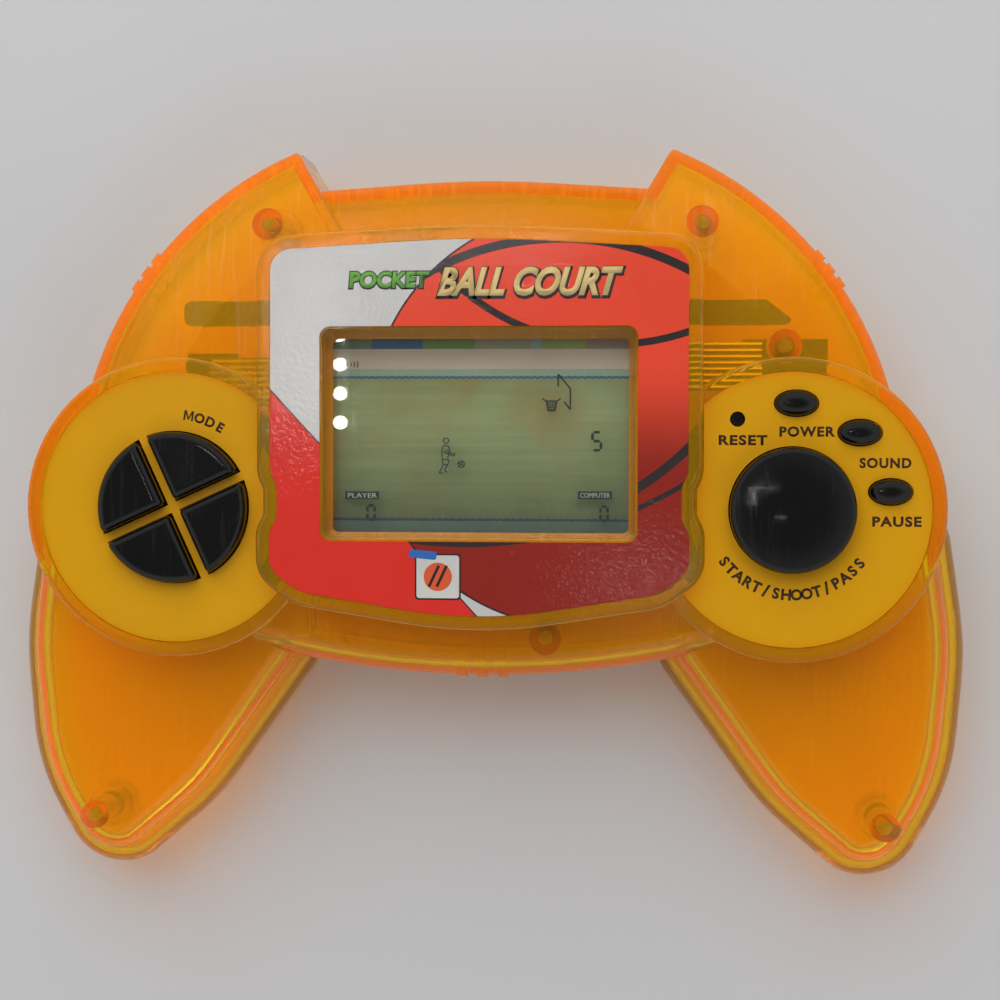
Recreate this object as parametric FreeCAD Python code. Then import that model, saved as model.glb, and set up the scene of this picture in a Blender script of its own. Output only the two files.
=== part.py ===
"""Handheld LCD ball game in the shape of a two-grip game pad, with see-through amber casings.

It lies on its back: +Z is out of the face, +X is the player's right and +Y is the rear edge, away
from the player. The origin is under the middle of the outline, on the surface it lies on.
Everything is drawn about the line through the two thumb pods and moved by POD_LINE_Y at the end.
Sizes are in millimetres.
"""

import FreeCAD, Part

import math
import os

V = FreeCAD.Vector

# ---- driving dimensions -------------------------------------------------------------------------
POD_LINE_Y = 1.36       # the outline's middle lies this far in front of the pods' line
WALL = 1.9              # casing wall
SPLIT_Z = 15.0          # casings meet here
BOSS_SPLIT_Z = 10.0     # screw posts meet here, inside
SLAB_Z = 2.5            # underside of the body, above the battery bulge and the grips
REAR_DECK_Z = 19.4      # low deck between the shoulders
SHOULDER_Z = 22.0
FRONT_DECK_Z = 22.0
POD_TOP_Z = 26.0
FRAME_TOP_Z = 28.6
FACET_FALL = 2.0        # how far the shoulders fall from their crease to their rim
CREASE_R = 44.0

POD_X = 47.4
POD_R = 23.1
PLATE_R = 20.8
PLATE_Z = (24.2, 25.3)
POD_FLOOR_Z = 22.4
KEY_GAP = 0.2           # between a key and its hole

KEY_FLANGE_Z = (21.2, 22.25)
KEY_TOP_Z = 27.9
PAD_R = 11.6            # the four direction keys make up this round
PAD_TURN = 24.5         # the cross between them is turned by this, in degrees
BAR_HALF = 0.85         # half the width of the cross's bars
ACTION_R = 9.45
ACTION_TOP_Z = 30.2
ACTION_EDGE_Z = 28.7    # where the dome of the action key starts
OVAL_A = 3.2            # half width and half depth of the small keys
OVAL_B = 1.9
OVAL_TOP_Z = 27.0
RESET_R = 0.95
OVAL_KEYS = {"power_button": (47.9, 16.1), "sound_button": (57.4, 11.7), "pause_button": (62.0, 2.8)}
RESET_AT = (39.1, 13.7)

WINDOW = (24.0, -4.8, 27.5)      # half width, front and rear of the window at the face
WINDOW_LOW = (22.7, -3.7, 25.9)  # the same at the lens
LABEL_Z = 28.2                   # floor of the label's recess
LABEL_THICK = 0.3
LENS_Z = (23.2, 24.4)
LCD_HALF = 24.4
LCD_Y = (-6.6, 28.9)
LCD_Z = (20.8, 21.9, 23.0)       # rear glass, front glass
LCD_GAP = 0.06                   # film gap between the display's sheets
CARD_Z = 20.5                    # underside of the card behind the glass

BOARD_Z = (15.6, 16.8)
MAT_Z = 17.8
DOME_Z = 20.3

CELL_R = 5.2
CELL_LENGTH = 44.5
NUB_LENGTH = 0.8
CELL_Y = (-7.9, 2.9)
CELL_Z = 7.25
BAY = (24.5, -13.4, 8.4)         # half length, front and rear of the battery bay, inside
BAY_ROOF_Z = 13.0
DOOR_HALF = 26.4
DOOR_THICK = 1.5
DOOR_REAR_Y = 11.0
DOOR_LIP = 1.7                   # thickness of the door's turned-up end
DOOR_LIP_Z = 6.0
DOOR_GAP = 0.15
TONGUE = 1.1                     # the door's side rails

SCREW_R = 1.1
SCREW_HEAD_R = 2.1
SCREW_SEAT_Z = 5.0
BOSS_R = 2.5
TIP_BOSS_R = 2.2
POST_R = 3.3
SCREWS = [(33.7, 44.0), (-33.7, 44.0), (46.4, 25.0), (9.8, -20.2), (62.2, -49.3), (-62.2, -49.3)]
BOARD_SCREWS = [(28.0, 34.4), (-28.0, 34.4), (27.0, -10.0), (-27.0, -10.0)]
KEY_POSTS = [(34.9, -12.5), (56.4, -15.5), (64.6, -4.6)]

PIEZO_AT = (-12.0, 35.0)
PIEZO_R = 9.0


# ---- helpers ------------------------------------------------------------------------------------
def box(x0, x1, y0, y1, z0, z1):
    return Part.makeBox(x1 - x0, y1 - y0, z1 - z0, V(x0, y0, z0))


def cyl(x, y, r, z0, z1):
    return Part.makeCylinder(r, z1 - z0, V(x, y, z0))


def mirrored(shape):
    return shape.mirror(V(0, 0, 0), V(1, 0, 0))


def both(shape):
    """The shape and its mirror image, as a list."""
    return [shape, mirrored(shape)]


def fused(shapes):
    first, *rest = shapes
    return first.fuse(rest).removeSplitter() if rest else first


def prism(face, z0, z1):
    """A flat face drawn at z 0, raised from z0 to z1."""
    raised = face.extrude(V(0, 0, z1 - z0))
    raised.translate(V(0, 0, z0))
    return raised


def offset_face(face, by):
    """The face grown by a distance, or shrunk where it is negative."""
    if abs(by) < 1e-6:
        return face
    grown = face.makeOffset2D(by)
    return grown.Faces[0] if grown.Faces else Part.Face(grown.Wires[0])


def rounded_polygon(corners):
    """A flat face from (x, y, radius) corners, each rounded by its own radius."""
    edges = []
    ends = []
    count = len(corners)
    for i, (x, y, r) in enumerate(corners):
        here = V(x, y, 0)
        before = V(*corners[i - 1][:2], 0) - here
        after = V(*corners[(i + 1) % count][:2], 0) - here
        before.normalize()
        after.normalize()
        if r <= 0:
            ends.append((here, here))
            continue
        half = before.getAngle(after) / 2
        reach = r / math.tan(half)
        start = here + before * reach
        end = here + after * reach
        inward = before + after
        inward.normalize()
        middle = here + inward * (r / math.sin(half) - r)
        edges.append((i, Part.Arc(start, middle, end).toShape()))
        ends.append((start, end))
    arcs = dict(edges)
    wire = []
    for i in range(count):
        if i in arcs:
            wire.append(arcs[i])
        a = ends[i][1]
        b = ends[(i + 1) % count][0]
        if (a - b).Length > 1e-6:
            wire.append(Part.LineSegment(a, b).toShape())
    return Part.Face(Part.Wire(Part.__sortEdges__(wire)))


def round_edges(solid, radius, wanted, from_last=False):
    """Fillets the edges for which wanted(points along the edge) is true, in either order."""
    chosen = [edge for edge in solid.Edges if not edge.Degenerated and wanted(edge.discretize(5))]
    if from_last:
        chosen.reverse()
    return solid.makeFillet(radius, chosen) if chosen else solid


def at_height(z):
    return lambda points: all(abs(p.z - z) < 1e-4 for p in points)


def rounded_rectangle(half, front, rear, radius):
    return rounded_polygon([(-half, front, radius), (half, front, radius),
                            (half, rear, radius), (-half, rear, radius)])


# ---- plan outlines ------------------------------------------------------------------------------
def label_face(grow=0.0):
    """The printed face's outline: arched rear edge, waist between the pods, bowed front edge."""
    right = [(31.7, 39.2, 3.4), (31.7, 5.6, 3.0), (30.7, 3.4, 2.0), (30.7, -1.4, 2.0),
             (31.9, -3.8, 3.0), (31.9, -9.2, 3.5), (27.5, -12.7, 7.0)]
    left = [(-x, y, r) for x, y, r in reversed(right)]
    corners = [(0, 41.0, 180.0)] + right + [(0, -17.1, 70.0)] + left
    return offset_face(rounded_polygon(corners), grow)


GRIP_CORNERS = [(58.0, 6.0, 0), (72.2, -0.5, 9.0), (75.2, -21.4, 50.0), (73.4, -42.5, 35.0),
                (64.8, -58.0, 9.5), (56.1, -58.0, 8.0), (43.2, -47.0, 40.0), (26.4, -23.5, 9.0),
                (30.0, 6.0, 0)]


def grip_face(inset):
    """The right grip's outline, drawn in by a distance."""
    return offset_face(rounded_polygon(GRIP_CORNERS), -inset)


SHOULDER_CENTRE = (7.6, 2.6)
SHOULDER_R = 57.0
RIB_ANGLES = (39.4, 36.8, 34.2)
NOTCH_LINE = [(21.0, 41.4), (32.5, 61.3)]
FRONT_ARC_R = 147.0
FRONT_Y = -26.3


def notch_side_face(inset):
    """Everything to the right of the notch's slanting side."""
    (ax, ay), (bx, by) = NOTCH_LINE
    length = math.hypot(bx - ax, by - ay)
    nx = (by - ay) / length * inset
    ny = -(bx - ax) / length * inset
    corners = [(ax + nx, ay + ny), (bx + nx, by + ny), (90, 62), (90, -12), (ax + nx, -12)]
    return Part.Face(Part.makePolygon([V(x, y, 0) for x, y in corners + corners[:1]]))


def shoulder_face(inset):
    """The right shoulder: a round outer edge, cut off by the slanting side of the rear notch."""
    disc = Part.Face(Part.Wire(Part.makeCircle(SHOULDER_R - inset, V(*SHOULDER_CENTRE, 0))))
    return disc.common(notch_side_face(inset)).Faces[0]


def rear_face(inset):
    half = 27.0
    return rounded_polygon([(-half, 20.0, 0), (half, 20.0, 0), (half, 49.2 - inset, 0),
                            (0, 51.0 - inset, 160.0), (-half, 49.2 - inset, 0)])


def front_face(inset, half=36.0):
    disc = Part.Face(Part.Wire(Part.makeCircle(FRONT_ARC_R - inset, V(0, FRONT_Y + FRONT_ARC_R, 0))))
    corners = [(-half, -40), (half, -40), (half, -2), (-half, -2), (-half, -40)]
    return disc.common(Part.Face(Part.makePolygon([V(x, y, 0) for x, y in corners]))).Faces[0]


# ---- blocks that both casings are made of ---------------------------------------------------------
def turned_shoulder(inset):
    """A turned block: flat inside the crease, falling away outside it, with a rounded rim."""
    rim_r = SHOULDER_R - inset
    top = SHOULDER_Z - inset
    rounding = max(1.6 - inset, 0.3)
    fall = math.atan2(FACET_FALL, SHOULDER_R - CREASE_R)
    corner = V(rim_r, 0, top - math.tan(fall) * (rim_r - CREASE_R))
    down = V(0, 0, -1)
    back = V(-math.cos(fall), 0, math.sin(fall))
    half = down.getAngle(back) / 2
    reach = rounding / math.tan(half)
    middle = corner + (down + back).normalize() * (rounding / math.sin(half) - rounding)
    start = corner + down * reach
    end = corner + back * reach
    profile = [Part.LineSegment(V(0, 0, SPLIT_Z), V(rim_r, 0, SPLIT_Z)),
               Part.LineSegment(V(rim_r, 0, SPLIT_Z), start),
               Part.Arc(start, middle, end),
               Part.LineSegment(end, V(CREASE_R, 0, top)),
               Part.LineSegment(V(CREASE_R, 0, top), V(0, 0, top)),
               Part.LineSegment(V(0, 0, top), V(0, 0, SPLIT_Z))]
    face = Part.Face(Part.Wire([piece.toShape() for piece in profile]))
    solid = face.revolve(V(0, 0, 0), V(0, 0, 1), 360)
    solid.translate(V(*SHOULDER_CENTRE, 0))
    return solid


def shoulder_front(inset):
    """The right shoulder above the split: the turned block cut off by the rear notch's side."""
    solid = turned_shoulder(inset).common(prism(notch_side_face(inset), 0, 40))
    if inset:
        return solid
    (ax, ay), (bx, by) = NOTCH_LINE
    length = math.hypot(bx - ax, by - ay)

    def on_notch_side(points):
        flush = all(abs((p.x - ax) * (by - ay) - (p.y - ay) * (bx - ax)) < 0.05 * length for p in points)
        rear = all(p.y > 40 for p in points)
        lowest = min(p.z for p in points)
        tip_edge = math.hypot(points[0].x - points[-1].x, points[0].y - points[-1].y) < 1e-3
        return flush and rear and (lowest > SPLIT_Z + 1 or tip_edge and points[0].y > 50)

    return round_edges(solid, 0.8, on_notch_side, from_last=True)


def grip_front(inset):
    """The right grip above the split: drawn in from the back casing, and falling to its tip."""
    ledge = 3.0
    solid = prism(grip_face(ledge + inset), SPLIT_Z, 30)
    near = V(0, 10, 21.6 - inset)
    far = V(0, -70, 17.2 - inset)
    cutter = Part.Face(Part.makePolygon([near, far, V(0, -70, 40), V(0, 10, 40), near]))
    cutter = cutter.extrude(V(120, 0, 0))
    solid = solid.cut(cutter)
    return round_edges(solid, 3.8 - inset, lambda ps: all(p.z > SPLIT_Z + 0.6 for p in ps))


def front_strip(inset):
    solid = prism(front_face(inset), SPLIT_Z, FRONT_DECK_Z - inset)
    return round_edges(solid, 4.4 - inset,
                       lambda ps: at_height(FRONT_DECK_Z - inset)(ps)
                       and all(p.y < -18 for p in ps))


def rear_strip(inset):
    solid = prism(rear_face(inset), SPLIT_Z, REAR_DECK_Z - inset)
    if inset:
        return solid
    return round_edges(solid, 1.2, lambda ps: at_height(REAR_DECK_Z)(ps) and all(p.y > 45 for p in ps))


def pod_block(inset):
    solid = cyl(POD_X, 0, POD_R - inset, SPLIT_Z, POD_FLOOR_Z if inset else POD_TOP_Z)
    return solid if inset else round_edges(solid, 0.8, at_height(POD_TOP_Z))


def frame_block(inset):
    if inset:
        return prism(label_face(0.3), SPLIT_Z, LABEL_Z - WALL)
    solid = prism(label_face(2.2), SPLIT_Z, FRAME_TOP_Z)
    return round_edges(solid, 0.9, at_height(FRAME_TOP_Z))


def front_form(inset):
    return fused([frame_block(inset), front_strip(inset), rear_strip(inset)]
                 + both(shoulder_front(inset)) + both(pod_block(inset)) + both(grip_front(inset)))


def grip_back(inset):
    """The right grip below the split, rounded under and rounded in to the front casing."""
    top = SPLIT_Z - inset
    solid = prism(grip_face(inset), inset, top)
    solid = round_edges(solid, 6.5 - inset, at_height(inset))
    solid = round_edges(solid, 4.6 - inset, at_height(top))
    if inset:
        solid = solid.fuse(prism(grip_face(3.0 + inset), top - 3, SPLIT_Z))
    return solid


def back_slab(face, inset, radius):
    solid = prism(face, SLAB_Z + inset, SPLIT_Z)
    return round_edges(solid, max(radius - inset, 0.5), at_height(SLAB_Z + inset))


def bulge_block(inset):
    half = 31.0 - inset
    rear = 24.0 - inset
    face = front_face(inset, half).common(
        Part.Face(Part.makePolygon([V(-half, -60, 0), V(half, -60, 0), V(half, -2, 0),
                                    V(-half, -2, 0), V(-half, -60, 0)]))).Faces[0]
    block = prism(face, inset, SPLIT_Z)
    block = block.fuse(box(-half, half, -2.0, rear, inset, SPLIT_Z)).removeSplitter()
    upright = [(half, rear), (-half, rear)]
    block = round_edges(block, max(4.0 - inset, 1.0), lambda ps: any(
        all(abs(p.x - x) < 1e-4 and abs(p.y - y) < 1e-4 for p in ps) for x, y in upright))
    return round_edges(block, max(2.4 - inset, 0.4), at_height(inset))


def back_form(inset):
    pods = cyl(POD_X, 0, POD_R - inset, SLAB_Z + inset, SPLIT_Z)
    pods = round_edges(pods, 6.0 - inset, at_height(SLAB_Z + inset))
    rear = back_slab(rear_face(inset), inset, 2.4)
    shoulder = back_slab(shoulder_face(inset), inset, 2.4)
    front = back_slab(front_face(inset), inset, 2.4)
    return fused([rear, front, bulge_block(inset)] + both(shoulder) + both(pods)
                 + both(grip_back(inset)))


# ---- keys -----------------------------------------------------------------------------------------
def wedge_face(centre_x, quarter, gap):
    """One quarter of the round pad between the bars of its turned cross; a gap makes it larger."""
    near = BAR_HALF - gap
    radius = PAD_R + gap
    far = math.sqrt(radius * radius - near * near)
    middle = radius / math.sqrt(2)
    arc = Part.Arc(V(far, near, 0), V(middle, middle, 0), V(near, far, 0)).toShape()
    sides = [Part.LineSegment(V(near, near, 0), V(far, near, 0)).toShape(), arc,
             Part.LineSegment(V(near, far, 0), V(near, near, 0)).toShape()]
    face = Part.Face(Part.Wire(sides))
    face.rotate(V(0, 0, 0), V(0, 0, 1), PAD_TURN + 90 * quarter)
    face.translate(V(centre_x, 0, 0))
    return face


def upright_edges(solid, radius):
    return round_edges(solid, radius, lambda ps: abs(ps[0].z - ps[-1].z) > 1
                       and math.hypot(ps[0].x - ps[-1].x, ps[0].y - ps[-1].y) < 1e-4)


def direction_key(quarter):
    flange_bottom, flange_top = KEY_FLANGE_Z
    body = prism(wedge_face(-POD_X, quarter, 0.0), flange_bottom, KEY_TOP_Z)
    body = upright_edges(body, 0.7)
    body = round_edges(body, 1.25, at_height(KEY_TOP_Z))
    flange = prism(wedge_face(-POD_X, quarter, 0.55), flange_bottom, flange_top)
    return body.fuse(flange).removeSplitter()


def action_button():
    """The big round key: a low dome on a straight side with a rounded edge."""
    bottom, flange_top = KEY_FLANGE_Z
    rise = ACTION_TOP_Z - ACTION_EDGE_Z
    ball_r = (ACTION_R ** 2 + rise ** 2) / (2 * rise)
    ball = Part.makeSphere(ball_r, V(POD_X, 0, ACTION_TOP_Z - ball_r))
    body = cyl(POD_X, 0, ACTION_R, bottom, ACTION_TOP_Z + 1).common(ball)
    body = round_edges(body, 1.1, lambda ps: all(abs(p.z - ACTION_EDGE_Z) < 0.01 for p in ps))
    return body.fuse(cyl(POD_X, 0, ACTION_R + 0.8, bottom, flange_top)).removeSplitter()


def ellipse_face(x, y, a, b):
    ellipse = Part.Ellipse(V(x, y, 0), a, b).toShape()
    return Part.Face(Part.Wire(ellipse))


def oval_key(x, y):
    bottom, flange_top = KEY_FLANGE_Z
    shoulder = 25.6
    dome = Part.makeSphere(1.0)
    stretch = FreeCAD.Matrix()
    stretch.scale(OVAL_A, OVAL_B, OVAL_TOP_Z - shoulder)
    dome = dome.transformGeometry(stretch)
    dome.translate(V(x, y, shoulder))
    body = prism(ellipse_face(x, y, OVAL_A, OVAL_B), bottom, shoulder)
    flange = prism(ellipse_face(x, y, OVAL_A + 0.6, OVAL_B + 0.6), bottom, flange_top)
    return body.fuse([dome, flange]).removeSplitter()


def reset_button():
    """A small pin that stays below the plate, to be pushed with a pencil point."""
    x, y = RESET_AT
    pin = round_edges(cyl(x, y, RESET_R, KEY_FLANGE_Z[0], PLATE_Z[1] - 0.35), 0.3,
                      at_height(PLATE_Z[1] - 0.35))
    return pin.fuse(cyl(x, y, RESET_R + 0.8, *KEY_FLANGE_Z)).removeSplitter()


def left_key_holes(z0, z1):
    return [prism(wedge_face(-POD_X, q, KEY_GAP), z0, z1) for q in range(4)]


def right_key_holes(z0, z1):
    holes = [cyl(POD_X, 0, ACTION_R + KEY_GAP, z0, z1), cyl(*RESET_AT, RESET_R + KEY_GAP, z0, z1)]
    for x, y in OVAL_KEYS.values():
        holes.append(prism(ellipse_face(x, y, OVAL_A + KEY_GAP, OVAL_B + KEY_GAP), z0, z1))
    return holes


def pad_plate(side):
    """A pod's opaque inlay: a disc that the display frame cuts into, with holes for the keys."""
    z0, z1 = PLATE_Z
    plate = cyl(side * POD_X, 0, PLATE_R, z0, z1)
    plate = plate.cut(prism(label_face(2.35), z0 - 1, z1 + 1))
    return plate.cut(left_key_holes(z0 - 1, z1 + 1) if side < 0 else right_key_holes(z0 - 1, z1 + 1))


# ---- casings --------------------------------------------------------------------------------------
def window_well():
    """The window's tapered opening, from the lens up through the face."""
    low = rounded_rectangle(*WINDOW_LOW, 0.9).OuterWire
    high = rounded_rectangle(*WINDOW, 1.6).OuterWire
    low.translate(V(0, 0, LENS_Z[1] - 0.01))
    high.translate(V(0, 0, FRAME_TOP_Z + 0.2))
    return Part.makeLoft([low, high], True, True)


def side_ribs():
    """Three grip ribs that wrap over each shoulder's edge, and three on the front edge."""
    ribs = []
    proud = turned_shoulder(-0.5)
    inner_end = SHOULDER_R - 4.6
    for angle in RIB_ANGLES:
        bar = box(inner_end, SHOULDER_R + 2, -0.9, 0.9, SPLIT_Z, SHOULDER_Z + 2)
        bar = round_edges(bar, 0.85, lambda ps: abs(ps[0].z - ps[-1].z) > 1
                          and all(abs(p.x - inner_end) < 1e-4 for p in ps))
        bar.rotate(V(0, 0, 0), V(0, 0, 1), angle)
        bar.translate(V(*SHOULDER_CENTRE, 0))
        ribs += both(proud.common(bar))
    for x in (-3.2, 0.0, 3.2):
        ribs.append(front_rib(x))
    return ribs


def front_rib(x):
    """A rib that follows the front edge's rounding, a little proud of it."""
    band = box(x - 0.75, x + 0.75, FRONT_Y - 1, FRONT_Y + 6.5, SPLIT_Z, FRONT_DECK_Z + 1)
    proud = front_strip(0)
    proud.translate(V(0, -0.35, 0.35))
    return proud.common(band)


def boss_radius(x):
    """The bosses in the grips' tips are slimmer than the others."""
    return BOSS_R if abs(x) < 60 else TIP_BOSS_R


def front_boss(x, y, top):
    """A screw boss that reaches down from the deck into the back casing."""
    return cyl(x, y, boss_radius(x), BOSS_SPLIT_Z, top)


def front_shell():
    outer = front_form(0)
    cavity = front_form(WALL)
    ribs = [rib.cut(cavity) for rib in side_ribs()]
    shell = outer.cut(cavity).fuse(ribs)
    under_deck = fused([outer] + [front_boss(x, y, SPLIT_Z + 1) for x, y in SCREWS])
    bosses = [front_boss(x, y, FRAME_TOP_Z).common(under_deck) for x, y in SCREWS]
    posts = [cyl(x, y, 1.9, BOARD_Z[1], LABEL_Z - WALL + 0.5) for x, y in BOARD_SCREWS]
    for x, y in KEY_POSTS:
        posts += [cyl(side * x, y, 1.5, BOARD_Z[1], POD_FLOOR_Z + 0.5) for side in (1, -1)]
    chimney = prism(rounded_rectangle(WINDOW[0] + 1.6, WINDOW[1] - 1.6, WINDOW[2] + 1.6, 2.0),
                    LENS_Z[1], LABEL_Z - WALL + 0.5)
    shell = shell.fuse(bosses + posts + [chimney])
    cuts = [window_well(), prism(label_face(0.12), LABEL_Z, FRAME_TOP_Z + 1)]
    for side in (1, -1):
        recess = cyl(side * POD_X, 0, PLATE_R + 0.1, PLATE_Z[0], POD_TOP_Z + 1)
        cuts.append(recess.cut(prism(label_face(2.2), SPLIT_Z, FRAME_TOP_Z)))
    cuts += left_key_holes(SPLIT_Z + 4, POD_TOP_Z) + right_key_holes(SPLIT_Z + 4, POD_TOP_Z)
    for x, y in SCREWS:
        top = 19.0 if abs(x) < 60 else 16.6
        cuts.append(cyl(x, y, SCREW_R + 0.02, BOSS_SPLIT_Z - 1, top))
    for x, y in BOARD_SCREWS:
        cuts.append(cyl(x, y, 0.82, BOARD_Z[1] - 1, BOARD_Z[1] + 5))
    for x, y in KEY_POSTS:
        cuts += [cyl(side * x, y, 0.82, BOARD_Z[1] - 1, BOARD_Z[1] + 4) for side in (1, -1)]
    cuts.append(cyl(-20.4, -20.2, 1.0, FRONT_DECK_Z - 1.2, FRONT_DECK_Z + 1))
    return shell.cut(cuts).removeSplitter()


def back_shell():
    outer = back_form(0)
    cavity = back_form(WALL)
    shell = outer.cut(cavity)
    half, front, rear = BAY
    wall = 1.4
    gap = DOOR_GAP
    bay = box(-half - wall, half + wall, front - wall, rear + wall, DOOR_THICK + 0.1, BAY_ROOF_Z + 1.1)
    behind_lip = front_face(DOOR_LIP + gap, DOOR_HALF + 2.6)
    shelf = prism(behind_lip, DOOR_THICK + 0.1, 3.0).cut(box(-40, 40, front, 0, 0, 5))
    upstand = prism(behind_lip, DOOR_THICK + 0.1, 8.2).cut(
        prism(front_face(DOOR_LIP + gap + 1.5, DOOR_HALF + 4), 0, 10))
    rear_shelf = box(-DOOR_HALF - 2.6, DOOR_HALF + 2.6, rear, DOOR_REAR_Y + 2.0, DOOR_THICK + 0.1, 3.0)
    rails = [box(half + wall - 0.2, 29.4, front - 1, rear + 1, DOOR_THICK + 0.1, 3.0)]
    inside = outer.common(fused([bay, shelf, upstand, rear_shelf] + both(rails[0])))
    posts = [cyl(x, y, POST_R, 0.2, BOSS_SPLIT_Z).common(outer) for x, y in SCREWS]
    px, py = PIEZO_AT
    ring = cyl(px, py, PIEZO_R + 1.4, SLAB_Z + WALL - 0.2, 6.2).cut(
        cyl(px, py, PIEZO_R + 0.15, SLAB_Z, 7))
    shell = shell.fuse([inside, ring.common(outer)] + posts)
    cuts = [box(-half, half, front, rear, -1, BAY_ROOF_Z)]
    cuts.append(box(-DOOR_HALF - gap, DOOR_HALF + gap, -40, DOOR_REAR_Y + gap, -1, DOOR_THICK + 0.1))
    cuts.append(box(-DOOR_HALF - TONGUE - gap, DOOR_HALF + TONGUE + gap, -40, DOOR_REAR_Y + gap,
                    0.75, DOOR_THICK + 0.1))
    cuts.append(box(-DOOR_HALF - gap, DOOR_HALF + gap, -40, -15, -1, DOOR_LIP_Z + gap).cut(
        prism(front_face(DOOR_LIP + gap, 60), -2, 20)))
    for x, y in SCREWS:
        cuts.append(cyl(x, y, SCREW_R + 0.25, -1, BOSS_SPLIT_Z + 1))
        cuts.append(cyl(x, y, SCREW_HEAD_R + 0.3, -1, SCREW_SEAT_Z))
        cuts.append(cyl(x, y, boss_radius(x) + 0.1, BOSS_SPLIT_Z, SPLIT_Z + 1))
    for x, y in contact_tab_places():
        cuts.append(box(x - 2.6, x + 2.6, y - 1.5, y + 1.5, 10.9, 11.9))
    cuts += sound_holes()
    return shell.cut(cuts).removeSplitter()


def sound_holes():
    px, py = PIEZO_AT
    places = [(px, py)]
    for ring, count in ((3.0, 6), (6.0, 12)):
        for k in range(count):
            turn = 2 * math.pi * k / count
            places.append((px + ring * math.cos(turn), py + ring * math.sin(turn)))
    return [cyl(x, y, 0.75, -1, SLAB_Z + WALL + 1) for x, y in places]


def battery_door():
    """A plate that slides off towards the player, with a turned-up end and two side rails."""
    form = back_form(0)
    plate = form.common(box(-DOOR_HALF, DOOR_HALF, -40, DOOR_REAR_Y, 0, DOOR_THICK))
    lip = form.common(box(-DOOR_HALF, DOOR_HALF, -40, -15, 0, DOOR_LIP_Z)).cut(
        prism(front_face(DOOR_LIP, 60), -1, 20))
    rails = both(box(DOOR_HALF - 0.5, DOOR_HALF + TONGUE, -21.5, DOOR_REAR_Y, 0.9, DOOR_THICK))
    door = fused([plate, lip] + rails)
    grooves = [box(-9, 9, y, y + 0.8, -1, 0.45) for y in (-21.0, -19.2, -17.4, -15.6)]
    return door.cut(grooves).removeSplitter()


# ---- display --------------------------------------------------------------------------------------
def face_label():
    sheet = prism(label_face(0.0), LABEL_Z, LABEL_Z + LABEL_THICK)
    half, front, rear = WINDOW
    return sheet.cut(prism(rounded_rectangle(half + 0.15, front - 0.15, rear + 0.15, 1.7),
                           LABEL_Z - 1, FRAME_TOP_Z))


def display_lens():
    half, front, rear = WINDOW
    return prism(rounded_rectangle(half + 1.4, front - 1.4, rear + 1.4, 1.0), *LENS_Z)


def lcd_sheet(z0, z1, ledge):
    front, rear = LCD_Y
    return box(-LCD_HALF, LCD_HALF, front + ledge, rear - ledge, z0, z1)


def lcd_holder():
    """The tray round the display glass; it stands on the main board and meets the lens."""
    front, rear = LCD_Y
    outer = box(-LCD_HALF - 2.4, LCD_HALF + 2.4, front - 1.6, rear + 1.6, BOARD_Z[1], LENS_Z[0])
    gap = 0.12
    pocket = box(-LCD_HALF - gap, LCD_HALF + gap, front - gap, rear + gap, LCD_Z[0] - 0.02, LENS_Z[0] + 1)
    middle = box(-LCD_HALF + 2, LCD_HALF - 2, front + 3.4, rear - 3.4, BOARD_Z[1] - 1, LCD_Z[0] + 1)
    rebate = box(-LCD_HALF + 0.1, LCD_HALF - 0.1, front + 2.55, rear - 2.55, CARD_Z, LCD_Z[0] + 1)
    slots = [box(-LCD_HALF + 1.5, LCD_HALF - 1.5, y, y + 2.1, BOARD_Z[1] - 1, LCD_Z[0] + 1)
             for y in (front + 0.45, rear - 2.55)]
    posts = [cyl(x, y, 2.1, 0, 40) for x, y in BOARD_SCREWS]
    return outer.cut([pocket, middle, rebate] + slots + posts).removeSplitter()


def zebra_strip(y):
    return box(-LCD_HALF + 1.6, LCD_HALF - 1.6, y, y + 1.9, BOARD_Z[1], LCD_Z[0])


# ---- electronics ----------------------------------------------------------------------------------
def main_board():
    z0, z1 = BOARD_Z
    board = box(-30.2, 30.2, -12.8, 37.0, z0, z1)
    board = upright_edges(board, 2.0)
    arms = upright_edges(box(-47.5, 47.5, 28.3, 32.2, z0, z1), 1.2)
    holes = [cyl(x, y, 1.0, z0 - 1, z1 + 1) for x, y in BOARD_SCREWS]
    corner = box(0, 6, 0, 6, z0 - 1, z1 + 1)
    corner.rotate(FreeCAD.Vector(0, 0, 0), FreeCAD.Vector(0, 0, 1), -38)
    corner.translate(FreeCAD.Vector(43.6, 32.2, 0))
    return board.fuse(arms).cut(holes + [corner]).removeSplitter()


def key_board(side):
    """A pod's round board with a tab for its ribbon; a screw boss locates the right one."""
    z0, z1 = BOARD_Z
    board = cyl(side * POD_X, 0, 19.4, z0, z1)
    keep = box(31.4, 80, -30, 30, z0 - 1, z1 + 1)
    if side > 0:
        board = board.fuse(box(40.0, 53.0, 10.0, 26.1, z0, z1))
    else:
        board = board.fuse(box(-47.0, -39.0, 10.0, 24.0, z0, z1))
        keep = mirrored(keep)
    board = board.common(keep)
    holes = [cyl(side * x, y, 1.0, z0 - 1, z1 + 1) for x, y in KEY_POSTS]
    holes.append(cyl(*SCREWS[2], BOSS_R + 0.25, z0 - 1, z1 + 1))
    return board.cut(holes).removeSplitter()


def dome(x, y, r):
    return Part.makeCone(r, r * 0.72, DOME_Z - MAT_Z, V(x, y, MAT_Z))


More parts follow.
